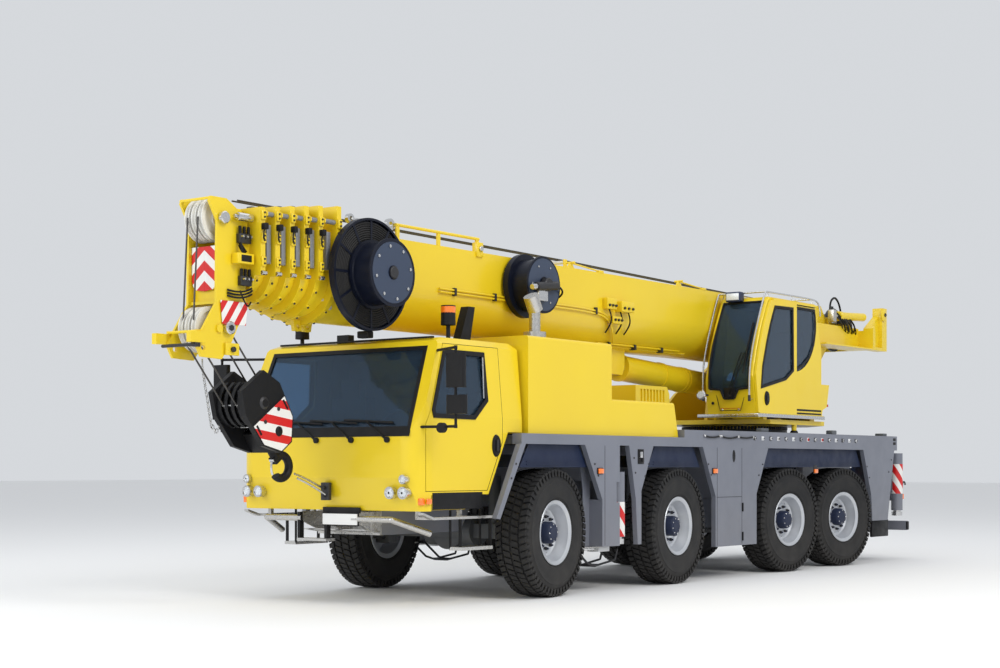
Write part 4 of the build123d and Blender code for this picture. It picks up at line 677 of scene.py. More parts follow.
print("helpers: block, bar, pipe, plate, ring_frame, turned, copy_of, join_up, fit_out")

# %% [markdown]
# ## Tyres and rims
# A crane tyre is a deep radial carcass with square shoulders and a tread of offset blocks. The carcass is a
# turned profile, which keeps its walls truly round. The tread could be a bump, but its blocks show against
# the sky at the rim, so one block is modelled and repeated round the tyre, with four staggered rows across.
# The sizes are the CAD tyre's: the blocks end at its radius, so the wheel still meets the ground.

# %% The carcass
TYRE_R = 0.690
TYRE_HALF_W = 0.193
CARCASS_R = 0.668
ORIGIN, X_AXIS, Y_AXIS, Z_AXIS = (0, 0, 0), (1, 0, 0), (0, 1, 0), (0, 0, 1)


def tyre_form():
    """The tyre about the X axis, with its middle plane at x = 0 and two raised rings on each wall."""
    half = TYRE_HALF_W
    wall = [(-0.150, 0.322), (-0.166, 0.358), (-0.176, 0.378), (-0.1835, 0.384), (-0.1835, 0.394),
            (-half + 0.009, 0.400), (-half + 0.004, 0.440), (-half, 0.500), (-half + 0.003, 0.545),
            (-half + 0.0005, 0.551), (-half + 0.0015, 0.558), (-half + 0.007, 0.564), (-half + 0.022, 0.636),
            (-0.150, CARCASS_R - 0.004), (-0.075, CARCASS_R + 0.002)]
    profile = wall + [(-along, radius) for along, radius in reversed(wall)]
    return turned(profile, ORIGIN, X_AXIS, rubber, steps=64)


tyre = tyre_form()
print("carcass faces:", len(tyre.data.polygons))

# %% One tread block for each row
def tread_block(low_x, high_x, reach, skew, top=TYRE_R, foot=CARCASS_R - 0.012):
    """A rubber block that stands on the carcass at the tyre's top, narrower at its face than at its foot."""
    deselect_all()
    bpy.ops.mesh.primitive_cube_add(size=1)
    piece = bpy.context.object
    for corner in piece.data.vertices:
        x = low_x if corner.co.x < 0 else high_x
        y = -reach if corner.co.y < 0 else reach
        y += skew if corner.co.x > 0 else -skew
        z = foot if corner.co.z < 0 else top
        if corner.co.z > 0:
            x += 0.004 if corner.co.x < 0 else -0.004
            y += 0.004 if corner.co.y < 0 else -0.004
            z -= 0.012 * (abs(x) / TYRE_HALF_W) ** 4
            z = math.sqrt(z * z - y * y)
        corner.co = (x, y, z)
    return coat(settle(piece), rubber)


TREAD_STEPS = 58
pitch = math.tau / TREAD_STEPS
arc = TYRE_R * pitch
ROWS = [
    # from x, to x, share of a step that it stands ahead, skew
    (-0.186, -0.108, 0.0, 0.010),
    (-0.094, -0.010, 0.5, -0.012),
    (0.010, 0.094, 0.0, -0.012),
    (0.108, 0.186, 0.5, 0.010),
]
blocks = []
for low_x, high_x, ahead, skew in ROWS:
    blocks += copied_round(tread_block(low_x, high_x, arc * 0.40, skew), TREAD_STEPS, pitch * ahead)
shoulder = tread_block(0.176, TYRE_HALF_W - 0.001, arc * 0.26, 0, top=0.672, foot=0.606)
other_shoulder = copy_of(shoulder, Matrix.Rotation(math.pi, 4, "Z"))
blocks += copied_round(shoulder, TREAD_STEPS, pitch * 0.5)
blocks += copied_round(other_shoulder, TREAD_STEPS, pitch * 0.5)
tyre_pattern = join_up([tyre] + blocks)
tyre_pattern.name = "tyre_pattern"
print("tyre faces:", len(tyre_pattern.data.polygons))

# %% [markdown]
# The rim is one turned steel profile: two flanges that hold the tyre's beads, a barrel, and a disc that is
# dished outwards to the hub. Ten studs with nuts hold it, and the hub's planetary gear stands out in the
# middle behind a bolted cap. All of it turns about the axle, so nuts and bolts are copied round by
# rotation.

# %% The rim
def rim_form():
    """The rim with its hub, nuts and bolts, about the X axis."""
    profile = [
        (-0.168, 0.300), (-0.180, 0.346), (-0.172, 0.352), (-0.156, 0.330), (-0.150, 0.318), (0.150, 0.318),
        (0.156, 0.330), (0.172, 0.352), (0.180, 0.346), (0.170, 0.322), (0.160, 0.306), (0.120, 0.296),
        (0.078, 0.276), (0.040, 0.262), (0.022, 0.236), (0.026, 0.206), (0.040, 0.166), (0.040, 0.120),
        (0.020, 0.120), (0.020, 0.166), (0.006, 0.206), (0.002, 0.240), (0.016, 0.270), (0.030, 0.288),
    ]
    hub = [(0.036, 0.0), (0.036, 0.122), (0.118, 0.118), (0.142, 0.104), (0.146, 0.072), (0.150, 0.066),
           (0.152, 0.0)]
    parts = [turned(profile, ORIGIN, X_AXIS, rim_silver, 56), turned(hub, ORIGIN, X_AXIS, guard, 40)]
    rings = [
        # x of its two ends, ring radius, own radius, finish, sides, wear, count, turn of the first
        (0.038, 0.068, 0.172, 0.0200, dark_steel, 6, 0.12, 10, 0.0),
        (0.066, 0.086, 0.172, 0.011, guard, 8, 0.2, 10, 0.0),
        (0.142, 0.153, 0.090, 0.009, bright_steel, 6, 0.15, 8, 0.2),
        (0.016, 0.023, 0.240, 0.012, axle_paint, 12, 0.1, 10, 0.314),
    ]
    for x0, x1, ring, radius, material, sides, wear, count, start in rings:
        parts += copied_round(bar((x0, 0, ring), (x1, 0, ring), radius, material, sides, wear), count, start)
    return join_up(parts)


rim_pattern = rim_form()
rim_pattern.name = "rim_pattern"
print("rim faces:", len(rim_pattern.data.polygons))

# %% Eight wheels
KINGPIN_X = 1.100
WHEEL_OUT = 0.082                  # from the kingpin out to the wheel's middle plane
WHEELS = [
    # axle, y of its centre, steering angle at rest in degrees
    (1, 0.0, 6.45),
    (2, 2.565, 3.11),
    (3, 5.491, -6.52),
    (4, 7.155, -9.36),
]
for axle, y, steer in WHEELS:
    for side_name, side in SIDES:
        stand = Matrix.Translation((side * KINGPIN_X, y, TYRE_R))
        stand = stand @ Matrix.Rotation(math.radians(steer), 4, "Z")
        if side < 0:
            stand = stand @ Matrix.Rotation(math.pi, 4, "Z")
        stand = stand @ Matrix.Translation((WHEEL_OUT, 0, 0))
        stand = stand @ Matrix.Rotation(0.23 * axle + 0.4 * side, 4, "X")
        body = f"wheel_{axle}_{side_name}"
        tyre = copy_of(tyre_pattern, stand)
        tread = fit_out(f"tyre_{axle}_{side_name}", [tyre], body, smooth=30)
        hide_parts(body)
        fit_out(f"rim_{axle}_{side_name}", [copy_of(rim_pattern, stand)], body, smooth=30)
bpy.data.objects.remove(tyre_pattern)
bpy.data.objects.remove(rim_pattern)

# %% [markdown]
# ## The boom head
# The head is what every driver behind the crane sees first, so it carries two warning boards. Between the
# sheaves sits a chevron board: two plates side by side whose stripes lean towards each other, which takes
# one striped finish per half. A smaller board hangs on the left cheek. The head also has a guard for the
# rope, a winding limiter in a box, and the ends of the electric and hydraulic lines. All of it belongs to
# the last boom section and moves with it.

# %% Warning boards on the head
boards = []
for side, material in ((-1, board_left), (1, board_right)):
    # each half of the chevron board is rounded at its lower outer corner
    half = [(0, 3.470), (0.172, 3.470), (0.172, 3.150), (0.150, 3.095), (0.110, 3.062), (0, 3.050)]
    boards.append(plate([(side * x, -3.790, z) for x, z in half], 0.012, material, "Y", 0.002))
cheek_board = [(-3.790, 2.955), (-3.440, 2.955), (-3.465, 2.735), (-3.765, 2.735)]
boards.append(plate([(0.212, y, z) for y, z in cheek_board], 0.010, board_side, wear=0.002))
fit_out("head_boards", boards, "telescope_6")

# %% Rope guard, limiter box and pin heads
def valve_bank(corner, count, pitch, material=dark_steel):
    """A row of solenoid valves on a block, with a plug on each."""
    x, y, z = corner
    run = pitch * (count - 1)
    bank = [block((x, y - 0.02, z - 0.09), (x + 0.05, y + 0.02 + run, z), material)]
    for index in range(count):
        place = Vector((x + 0.03, y + pitch * index, z))
        bank.append(bar(place, place + Vector((0, 0, 0.07)), 0.016, black_trim, 10))
        bank.append(stub(place.x, place.x + 0.055, place.y, z - 0.03, 0.011, bright_steel, 6))
    return bank


head = [
    block((0.206, -3.640, 3.310), (0.300, -3.430, 3.410), yellow, 0.008, 3),
    block((0.298, -3.600, 3.330), (0.306, -3.470, 3.392), black_trim, 0.003),
    stub(0.206, 0.262, -3.690, 2.700, 0.062, bright_steel, 24),
    stub(0.206, 0.258, -3.755, 3.728, 0.058, bright_steel, 24),
    stub(0.262, 0.272, -3.690, 2.700, 0.030, dark_steel, 6),
    block((0.206, -3.735, 2.445), (0.232, -3.560, 2.560), yellow, 0.006),
    stub(0.232, 0.262, -3.650, 2.500, 0.026, dark_steel, 12),
    bar((0.262, -3.620, 3.752), (0.262, -3.430, 3.752), 0.040, bright_steel, 20),
    bar((0.262, -3.660, 3.752), (0.262, -3.620, 3.752), 0.018, bright_steel, 12),
    stub(-0.19, 0.275, -4.140, 2.520, 0.016, dark_steel, 12),
    block((0.205, -4.150, 2.500), (0.262, -4.080, 2.560), dark_steel, 0.006),
    block((-0.14, -3.500, 3.790), (0.14, -3.440, 3.850), yellow, 0.008),
]
head += valve_bank((0.208, -3.560, 3.600), 3, 0.055) + valve_bank((0.208, -3.540, 3.200), 3, 0.050)
for drop in (0.0, 0.028, 0.056):
    upper = [(0.225, -3.560, 3.540 - drop), (0.30, -3.60, 3.480 - drop), (0.262, -3.500, 3.430 - drop)]
    lower = [(0.215, -3.700, 3.060 - drop), (0.270, -3.560, 3.020 - drop), (0.262, -3.430, 3.090 - drop)]
    head += [pipe(upper, 0.009, black_trim), pipe(lower, 0.010, black_trim)]
loop = [(0.24, -3.560, 3.060), (0.27, -3.540, 2.960), (0.27, -3.480, 2.900), (0.25, -3.430, 2.960)]
head.append(pipe(loop, 0.008, black_trim))
ROPE_R = 0.0085
for x in (-0.07, 0.07):
    head.append(bar((x, -3.935, 3.728), (x, -3.990, 2.760), ROPE_R, rope_wire, 10))
fit_out("head_fittings", head, "telescope_6")

# %% [markdown]
# ## Collars
# Each boom section carries a stiff collar round its mouth. Guide pads of nylon sit in pockets on its sides
# and top, and screws behind them take up the play. One set of pads is the same for all six collars apart
# from its width and place, so a table of widths drives a loop, and each set rides on the section that owns
# the collar.

# %% Guide pads and screws on the six collars
COLLARS = [
    # body, y of the collar's middle, half width, top
    ("boom", -2.491, 0.520, 3.960), ("telescope_1", -2.718, 0.488, 3.940),
    ("telescope_2", -2.883, 0.456, 3.920), ("telescope_3", -3.048, 0.424, 3.900),
    ("telescope_4", -3.213, 0.392, 3.880), ("telescope_5", -3.378, 0.360, 3.860),
]
BOOM_MIDDLE_Z = 3.305              # height of the round belly's middle
BOOM_HALF_W = 0.450                # the outer section's wall
BELLY_R = BOOM_HALF_W + 0.046      # the outer collar's belly
NEST = 0.040                       # how much each section is smaller than the last


def belly_screw(y, belly, angle):
    """A boss with its screw on the round underside of a collar."""
    out = Vector((math.cos(angle), 0, math.sin(angle)))
    foot = Vector((0, y, BOOM_MIDDLE_Z)) + belly * out
    return [bar(foot - 0.004 * out, foot + 0.012 * out, 0.021, yellow, 12),
            bar(foot + 0.010 * out, foot + 0.022 * out, 0.012, dark_steel, 6)]


for index, (body, y, half, top) in enumerate(COLLARS):
    parts = []
    along, on_top = (y - 0.026, y + 0.026), (top - 0.002, top + 0.016)
    for side in (-1, 1):
        for z in (3.300, 3.520, 3.740):
            parts.append(side_block(side, (half, half + 0.022), along, (z, z + 0.090), yellow, 0.005))
            for dz in (0.024, 0.066):
                parts.append(stub(half + 0.020, half + 0.034, y, z + dz, 0.010, dark_steel, 6, side))
        # the outer collar is the crane's highest point and has no pad on top
        if index > 0:
            x = half * 0.55
            parts.append(side_block(side, (x - 0.035, x + 0.035), (y - 0.024, y + 0.024), on_top, axle_paint))
    # a plug and a short line between this collar and the next, on the left
    parts.append(block((half + 0.001, y - 0.024, 3.645), (half + 0.060, y + 0.020, 3.705), black_trim, 0.006))
    line = [(half + 0.035, y - 0.015, 3.650), (half + 0.055, y - 0.045, 3.600),
            (half + 0.040, y - 0.030, 3.545), (half + 0.020, y, 3.560)]
    parts.append(pipe(line, 0.008, black_trim))
    x = half + 0.012
    parts.append(bar((x, y - 0.030, 3.235), (x, y + 0.030, 3.235), 0.022, bright_steel, 12))
    for turn in range(7):
        parts += belly_screw(y, BELLY_R - index * NEST, math.radians(205 + 21.5 * turn))
    fit_out(f"collar_fittings_{index}", parts, body)

# %% Slide strips and the bolt bars between the collars
for index, (behind, ahead) in enumerate(zip(COLLARS[:-1], COLLARS[1:]), start=1):
    body, y, half, top = ahead
    wall_x = BOOM_HALF_W - NEST * index
    middle = (behind[1] + y) / 2
    parts = []
    for side in (-1, 1):
        parts.append(side_block(side, (wall_x - 0.004, half - 0.006), (middle - 0.026, middle + 0.030),
                                (3.330, 3.700), slide_grey, 0.003))
        x = side * (half - 0.004)
        parts.append(bar((x, y + 0.032, 3.800), (x, behind[1] - 0.032, 3.800), 0.024, slide_grey, 16))
        parts.append(bar((x, y + 0.030, 3.800), (x, y + 0.050, 3.800), 0.034, yellow, 6))
    fit_out(f"slide_strips_{body}", parts, body)

# %% [markdown]
# ## Lines and brackets along the boom
# The outer boom section carries the lines that feed the head, the valves of the telescoping cylinder, a
# bracket for the folded jib, and the hoist rope along its top. Pipes on a real boom are steel tubes held by
# clamps at even spacing, so each run is one pipe through a few points with clamps set along it.

# %% Pipes and valves on the outer section
boom_parts = []
for lift in (0.0, 0.034):
    run = [(0.470, -0.86, 3.262 + lift), (0.470, 0.70, 3.262 + lift), (0.470, 2.20, 3.262 + lift),
           (0.470, 2.44, 3.180 + lift), (0.440, 2.56, 3.020 + lift), (0.330, 2.72, 2.930)]
    boom_parts.append(pipe(run, 0.0115, yellow))
for y in (-0.60, 0.114, 1.10, 2.133):
    boom_parts.append(block((0.442, y - 0.018, 3.2365), (0.487, y + 0.018, 3.3215), dark_steel))
for x, y0, y1, z in ((0.235, 2.35, 4.60, 2.902), (0.275, 2.45, 4.40, 2.925)):
    boom_parts.append(pipe([(x, y0, z), (x, (y0 + y1) / 2, z), (x, y1, z)], 0.011, yellow))
for y in (2.70, 3.30, 3.95):
    boom_parts.append(block((0.215, y - 0.02, 2.878), (0.300, y + 0.02, 2.945), dark_steel))
VALVE_BLOCKS = [
    ((0.451, 2.31, 3.320), (0.525, 2.52, 3.455)), ((0.451, 2.58, 3.300), (0.560, 2.86, 3.430)),
    ((0.445, 2.44, 3.150), (0.520, 2.66, 3.240)),
]
for low, high in VALVE_BLOCKS:
    boom_parts.append(block(low, high, yellow, 0.008, 3))
    for step in range(3):
        y = low[1] + (high[1] - low[1]) * (step + 0.5) / 3
        boom_parts.append(stub(high[0] - 0.004, high[0] + 0.024, y, low[2] + 0.045, 0.016, dark_steel, 6))
for y in (2.38, 2.62, 2.80):
    hose = [(0.50, y, 3.32), (0.53, y + 0.02, 3.22), (0.48, y + 0.05, 3.12), (0.40, y + 0.06, 3.04)]
    boom_parts.append(pipe(hose, 0.010, black_trim))
print("pipes and valves:", len(boom_parts), "parts")

# %% Brackets, pins and the rope along the top
boom_parts.append(block((0.36, -2.20, 3.845), (0.43, -1.62, 3.898), bright_steel, 0.008))
for y in (-2.14, -1.82):
    boom_parts.append(block((0.37, y, 3.752), (0.42, y + 0.12, 3.847), bright_steel, 0.006))
for y, z, inner, outer in ((-1.590, 3.896, 0.030, 0.062), (-2.200, 3.888, 0.022, 0.048)):
    eye = [(-0.022, inner), (-0.022, outer), (0.022, outer), (0.022, inner)]
    boom_parts.append(turned(eye, (0.395, y, z), X_AXIS, bright_steel, 20))
# hinge block at the rear end of the jib rail, and braces of the two hooks behind it
boom_parts.append(block((0.40, -0.21, 3.700), (0.475, -0.10, 3.860), yellow, 0.008))
boom_parts.append(stub(0.476, 0.500, -0.155, 3.790, 0.030, bright_steel, 16))
for y in (1.651, 4.135):
    boom_parts.append(bar((0.430, y, 3.815), (0.430, y + 0.62, 3.772), 0.010, yellow, 8))
    boom_parts.append(block((0.405, y + 0.58, 3.752), (0.455, y + 0.68, 3.782), yellow))
# white pins of the outer lock, and a white junction box
for y, z in ((-2.495, 3.050), (-2.430, 2.985)):
    boom_parts.append(stub(0.30, 0.345, y, z, 0.030, nylon, 16))
boom_parts.append(block((0.522, -2.510, 3.270), (0.556, -2.470, 3.360), nylon, 0.006))
for x in (-0.036, 0.036):
    boom_parts.append(bar((x, -3.400, 3.9505), (x, 2.0, 3.915), ROPE_R, rope_wire, 8))
    boom_parts.append(bar((x, 2.0, 3.915), (x, 7.35, 3.835), ROPE_R, rope_wire, 8))
for y, top in ((-2.300, 3.958), (2.0, 3.914), (7.35, 3.834)):
    for x in (-0.11, 0.11):
        boom_parts.append(block((x - 0.012, y - 0.03, 3.752), (x + 0.012, y + 0.03, top), yellow, 0.003))
    boom_parts.append(stub(-0.12, 0.12, y, top - 0.034, 0.022, nylon, 16))
fit_out("boom_lines", boom_parts, "boom")

# %% [markdown]
# ## Hose reels
# The big reel pays out the hydraulic hose that runs to a jib, the small one the cable of the load limiter.
# The hose lies in even rings, so it is one turned profile with a row of round humps, set just in front of
# the CAD coil and behind the spokes. The hub's cover is a flat blue disc on bolts.

# %% Wound hose, hub cover and motor
BIG_REEL, SMALL_REEL = (0, -2.100, 3.320), (0, 0.600, 3.440)


def hose_rings(x, inner, outer, count, lift):
    """Profile of hose turns that lie side by side between two radii."""
    profile = [(x, inner)]
    pitch = (outer - inner) / count
    for ring in range(count):
        centre = inner + pitch * (ring + 0.5)
        profile += [(x + lift * 0.75, centre - pitch * 0.30), (x + lift, centre),
                    (x + lift * 0.75, centre + pitch * 0.30), (x, centre + pitch * 0.5)]
    return profile + [(x - 0.004, outer), (x - 0.004, inner)]


def cover_bolts(reel, count, ring, start, x0, x1, radius):
    """Bolt heads in a ring on a reel's cover."""
    bolts = []
    for index in range(count):
        turn = math.tau * index / count + start
        y, z = reel[1] + ring * math.cos(turn), reel[2] + ring * math.sin(turn)
        bolts.append(stub(x0, x1, y, z, radius, bright_steel, 6))
    return bolts


big_cover = [(0.8805, 0.0), (0.8805, 0.305), (0.8865, 0.302), (0.8865, 0.0)]
big_collar = [(0.602, 0.300), (0.602, 0.345), (0.622, 0.345), (0.622, 0.318), (0.640, 0.312), (0.640, 0.300)]
small_cover = [(0.7905, 0.09), (0.7905, 0.296), (0.7960, 0.294), (0.7960, 0.09)]
reel_parts = [
    turned(hose_rings(0.5855, 0.325, 0.524, 9, 0.012), BIG_REEL, X_AXIS, rubber, 64),
    turned(big_cover, BIG_REEL, X_AXIS, cover_blue, 64),
    turned(big_collar, BIG_REEL, X_AXIS, reel_navy, 64),
    stub(0.880, 0.912, *BIG_REEL[1:], 0.062, dark_steel, 24),
    turned(small_cover, SMALL_REEL, X_AXIS, cover_blue, 56),
    stub(0.795, 0.875, *SMALL_REEL[1:], 0.075, dark_steel, 24),
    # the small reel's motor and its bracket
    bar((0.845, 0.380, 3.400), (0.845, 0.780, 3.440), 0.050, dark_steel, 20),
    bar((0.845, 0.300, 3.390), (0.845, 0.380, 3.400), 0.034, bright_steel, 16),
    block((0.800, 0.420, 3.250), (0.850, 0.600, 3.380), bright_steel, 0.006),
]
cable = [(0.845, 0.78, 3.44), (0.86, 0.92, 3.40), (0.70, 0.98, 3.30), (0.47, 1.05, 3.28)]
reel_parts.append(pipe(cable, 0.012, black_trim))
reel_parts += cover_bolts(BIG_REEL, 8, 0.262, 0.2, 0.884, 0.900, 0.017)
reel_parts += cover_bolts(SMALL_REEL, 6, 0.225, 0.0, 0.794, 0.806, 0.012)
fit_out("reel_fittings", reel_parts, "boom")

# %% [markdown]
# ## The driver's cab
# Glass on a cab is bonded behind a black band, and that band, more than the glass, is what the eye reads.
# The bands are cut as frames: an outline is a closed loop, the loop is inset, and the ring between them is
# extruded. The wipers, the lamps, the plates and the door handles follow.

# %% Where the cab's walls stand
CAB_FRONT_Y, CAB_HALF_W = -2.156, 1.250


def cab_front_y(z):
    """Where the cab's front face stands at a height: upright below, leaning back above."""
    return CAB_FRONT_Y + max(0, z - 1.690) / (2.660 - 1.690) * 0.396


def cab_side_x(z):
    """Half width of the cab's side at a height: upright below, leaning in above."""
    return CAB_HALF_W - max(0, z - 1.900) / (2.630 - 1.900) * 0.065


print("screen top leans back", round(cab_front_y(2.6) - cab_front_y(1.71), 3), "m")

# %% Windscreen band and wipers
screen = [(-1.130, 1.700), (1.130, 1.700), (1.066, 2.610), (-1.066, 2.610)]
foot_band = [(-1.120, 1.705), (1.120, 1.705), (1.106, 1.800), (-1.106, 1.800)]
cab_parts = [
    ring_frame([(x, cab_front_y(z) - 0.004, z) for x, z in screen], 0.045, 0.010, black_trim, "Y"),
    plate([(x, cab_front_y(z) + 0.0035, z) for x, z in foot_band], 0.002, black_trim, "Y", wear=0),
]
for pivot_x in (-0.091, 0.386, 0.862):
    base = Vector((pivot_x, cab_front_y(1.665) - 0.020, 1.667))
    elbow = Vector((pivot_x - 0.300, cab_front_y(1.845) - 0.034, 1.845))
    blade_a = Vector((elbow.x - 0.330, cab_front_y(1.872) - 0.014, 1.872))
    blade_b = Vector((elbow.x + 0.330, cab_front_y(1.836) - 0.014, 1.836))
    cab_parts += [
        bar(base + Vector((0, 0.022, 0)), base - Vector((0, 0.012, 0)), 0.030, black_trim, 16),
        bar(base, elbow, 0.013, black_trim, 10, tip=0.008),
        bar(blade_a, blade_b, 0.012, black_trim, 8),
        bar(elbow, (blade_a + blade_b) / 2, 0.008, black_trim, 8),
    ]
fit_out("windscreen_fittings", cab_parts, "carrier")

# %% Front lamps, plates and the hook's tie
def round_lamp(x, z, radius):
    """A lens in a bright ring on the cab's front, with three dark screws."""
    place = (x, -2.160, z)
    ring = [(-0.0255, radius * 0.70), (-0.0330, radius * 0.80), (-0.0330, radius + 0.001),
            (-0.0200, radius + 0.003), (0.0, radius + 0.003)]
    lens = [(-0.0255, radius * 0.72), (-0.0262, radius * 0.44), (-0.0340, radius * 0.40), (-0.0385, 0.0)]
    parts = [turned(ring, place, Y_AXIS, bright_steel, 32), turned(lens, place, Y_AXIS, clear_lens, 32)]
    for turn in (0.6, 2.7, 4.8):
        at_x, at_z = x + radius * 0.57 * math.cos(turn), z + radius * 0.57 * math.sin(turn)
        parts.append(bar((at_x, -2.1852, at_z), (at_x, -2.1880, at_z), radius * 0.11, dark_steel, 8))
    return parts


front_parts = []
for side in (-1, 1):
    for x, z, radius in ((1.077, 1.275, 0.045), (1.077, 1.142, 0.060), (0.908, 1.142, 0.060)):
        front_parts += round_lamp(side * x, z, radius)
    front_parts += [
        side_block(side, (1.17, 1.235), (-2.080, -2.030), (1.020, 1.090), amber_lens, 0.008),
        side_block(side, (1.246, 1.268), (-2.030, -1.960), (1.030, 1.085), amber_lens, 0.006),
    ]
# a thin black sheet on the cab's side where the step's recess is: painted shade, since the recess is not cut
for side in (-1, 1):
    recess_shade_sheet = side_block(side, (1.2504, 1.2530), (-1.935, -1.130), (0.975, 1.142), black_trim, 0.001)
    front_parts.append(recess_shade_sheet)
front_parts += [
    block((-0.040, -2.130, 0.812), (0.430, -2.118, 0.924), plate_white),
    block((-0.055, -2.118, 0.800), (0.445, -2.108, 0.938), black_trim),
    block((-0.055, -2.110, 0.930), (0.445, -2.085, 0.990), black_trim),
    block((0.000, -2.200, 1.060), (0.110, -2.156, 1.240), dark_steel, 0.006),
]
for z in (1.110, 1.190):
    front_parts.append(bar((0.055, -2.196, z), (0.055, -2.236, z), 0.020, dark_steel, 12))
fit_out("front_fittings", front_parts, "carrier")

# %% Door bands and handles
DOOR_PANE = [(-1.920, 1.882), (-1.253, 1.878), (-1.018, 2.073), (-1.030, 2.575), (-1.700, 2.575)]
SIDE_WINDOW = DOOR_PANE + [(-1.940, 1.960)]
HANDLE_Z = 1.617
handle = [(0.0, 0.0), (0.0135, 0.0), (0.0135, 0.042), (0.019, 0.056), (0.014, 0.066), (0.0, 0.072)]
for side_name, side in SIDES:
    reface(f"cab_door_{side_name}", cab_pane, within(DOOR_PANE))
    outline = [(side * (cab_side_x(z) + 0.001), y, z) for y, z in SIDE_WINDOW]
    grip = turned(handle, (side * CAB_HALF_W, -0.895, HANDLE_Z), (side, 0, 0), black_trim, 32)
    rail_low = (side * (cab_side_x(2.3) + 0.012), -1.075, 2.100)
    rail_high = (side * (cab_side_x(2.5) + 0.012), -1.075, 2.520)
    door_parts = [
        ring_frame(outline, 0.046, side * 0.009, black_trim),
        stretched(grip, HANDLE_Z, 1.62),
        side_block(side, (1.262, 1.278), (-0.912, -0.878), (1.560, 1.680), dark_steel, 0.005),
        bar(rail_low, rail_high, 0.009, bright_steel, 10),
    ]
    fit_out(f"door_fittings_{side_name}", door_parts, f"cab_door_{side_name}")

# %% Roof lamps and beacons
roof_parts = [
    block((0.330, -2.020, 2.700), (0.480, -1.930, 2.772), black_trim, 0.012),
    block((-1.06, -1.705, 2.692), (1.06, -1.670, 2.712), black_trim, 0.006),
]
for x, foot, tall in ((1.020, 2.840, 0.200), (-1.020, 2.790, 0.170)):
    socket = [(0.0, 0.0), (0.0, 0.0765), (0.045, 0.0765), (0.050, 0.070)]
    dome = [(0.050, 0.070), (tall - 0.040, 0.0775), (tall - 0.014, 0.0775), (tall, 0.062),
            (tall + 0.002, 0.0)]
    roof_parts.append(turned(socket, (x, -1.400, foot), Z_AXIS, black_trim, 28))
    roof_parts.append(turned(dome, (x, -1.400, foot), Z_AXIS, amber_lens, 28))
fit_out("cab_roof_lamps", roof_parts, "carrier")

# %% [markdown]
# ## The crane operator's cab
# The cab's windscreen is one bowed pane that runs from the floor to the roof, so the band round it is swept
# along the same bow instead of being cut from a flat face. Silver rails stand in front of both posts and
# run round the roof: they guard the glass from a swinging rope and hold whoever cleans it. The door slides
# to the rear, so its band and its round pull ride on the door, and everything on the wall behind it stays
# flatter than the gap.

# %% Places on the bowed front
CREW_LEFT_X, CREW_RIGHT_X = 1.150, 0.562
BOW = [(4.712, 2.430), (4.706, 2.600), (4.742, 2.800), (4.800, 2.980), (4.881, 3.150), (4.975, 3.330),
       (5.070, 3.510), (5.112, 3.590)]


def bow_y(z):
    """Where the windscreen's face stands at a height."""
    for (y0, z0), (y1, z1) in zip(BOW[:-1], BOW[1:]):
        if z <= z1:
            return y0 + (y1 - y0) * (z - z0) / (z1 - z0)


def before_screen(x, z, gap):
    """A place that stands off the windscreen by a gap."""
    return (x, bow_y(z) - gap, z)


crew = [pipe([(x, y - 0.004, z) for y, z in BOW], 0.017, black_trim, 12) for x in (CREW_LEFT_X, CREW_RIGHT_X)]
top_band = [(x, 5.108, 3.588) for x in (CREW_RIGHT_X, 0.85, CREW_LEFT_X)]
crew.append(pipe(top_band, 0.017, black_trim))
NOTCH = [(0.562, 2.430), (0.726, 2.415), (0.781, 2.296), (0.931, 2.296), (0.986, 2.415), (1.150, 2.430)]
for (x0, z0), (x1, z1) in zip(NOTCH[:-1], NOTCH[1:]):
    crew.append(bar((x0, 4.712, z0), (x1, 4.712, z1), 0.015, black_trim, 10))
crew.append(block((0.775, 4.720, 2.292), (0.937, 4.742, 2.440), black_trim, 0.006))
print("the bow runs back", round(BOW[-1][0] - BOW[1][0], 3), "m up to the roof")

# %% Wipers, rails and lamps of the crane cab
for lean in (0.0, 0.045):
    arm = [(0.842 + lean, 4.700, 2.330), before_screen(0.93 + lean, 2.60, 0.030),
           before_screen(1.02 + lean, 2.90, 0.030)]
    crew.append(pipe(arm, 0.008, black_trim))
blade = [before_screen(1.075, 2.62, 0.022), before_screen(1.085, 2.95, 0.022),
         before_screen(1.095, 3.30, 0.020)]
crew.append(pipe(blade, 0.011, black_trim))
crew.append(bar((0.842, 4.735, 2.330), (0.842, 4.690, 2.330), 0.032, black_trim, 16))
crew.append(bar((0.885, 4.735, 2.330), (0.885, 4.695, 2.330), 0.022, black_trim, 12))
RAIL_R = 0.0125
left_rail = [(1.185, 4.655, 2.262), (1.185, 4.645, 2.600), (1.185, 4.735, 2.960), (1.185, 4.900, 3.330),
             (1.185, 5.060, 3.660), (1.190, 5.100, 3.716)]
right_rail = [(0.480, 4.690, 2.279), (0.480, 4.660, 2.600), (0.480, 4.750, 2.960), (0.480, 4.910, 3.330),
              (0.480, 5.060, 3.650), (0.485, 5.100, 3.716)]
for rail in (left_rail, right_rail):
    x, y, z = rail[0]
    crew += [pipe(rail, RAIL_R, bright_steel, 12),
             bar((x, y, z - 0.01), (x, y, z + 0.07), 0.019, dark_steel, 14),
             bar((x, y, z + 0.02), (x, 4.735, z + 0.02), 0.010, bright_steel, 10)]
roof_rail = [(5.100, 3.716), (5.90, 3.722), (6.500, 3.722), (6.640, 3.700), (6.700, 3.620), (6.700, 3.500)]
for x in (0.520, 1.190):
    crew.append(pipe([(x, y, z) for y, z in roof_rail], RAIL_R, bright_steel, 12, bend=4))
    for y in (5.180, 5.850, 6.470):
        crew.append(bar((x - 0.02, y, 3.645), (x, y, 3.722), 0.009, bright_steel, 10))
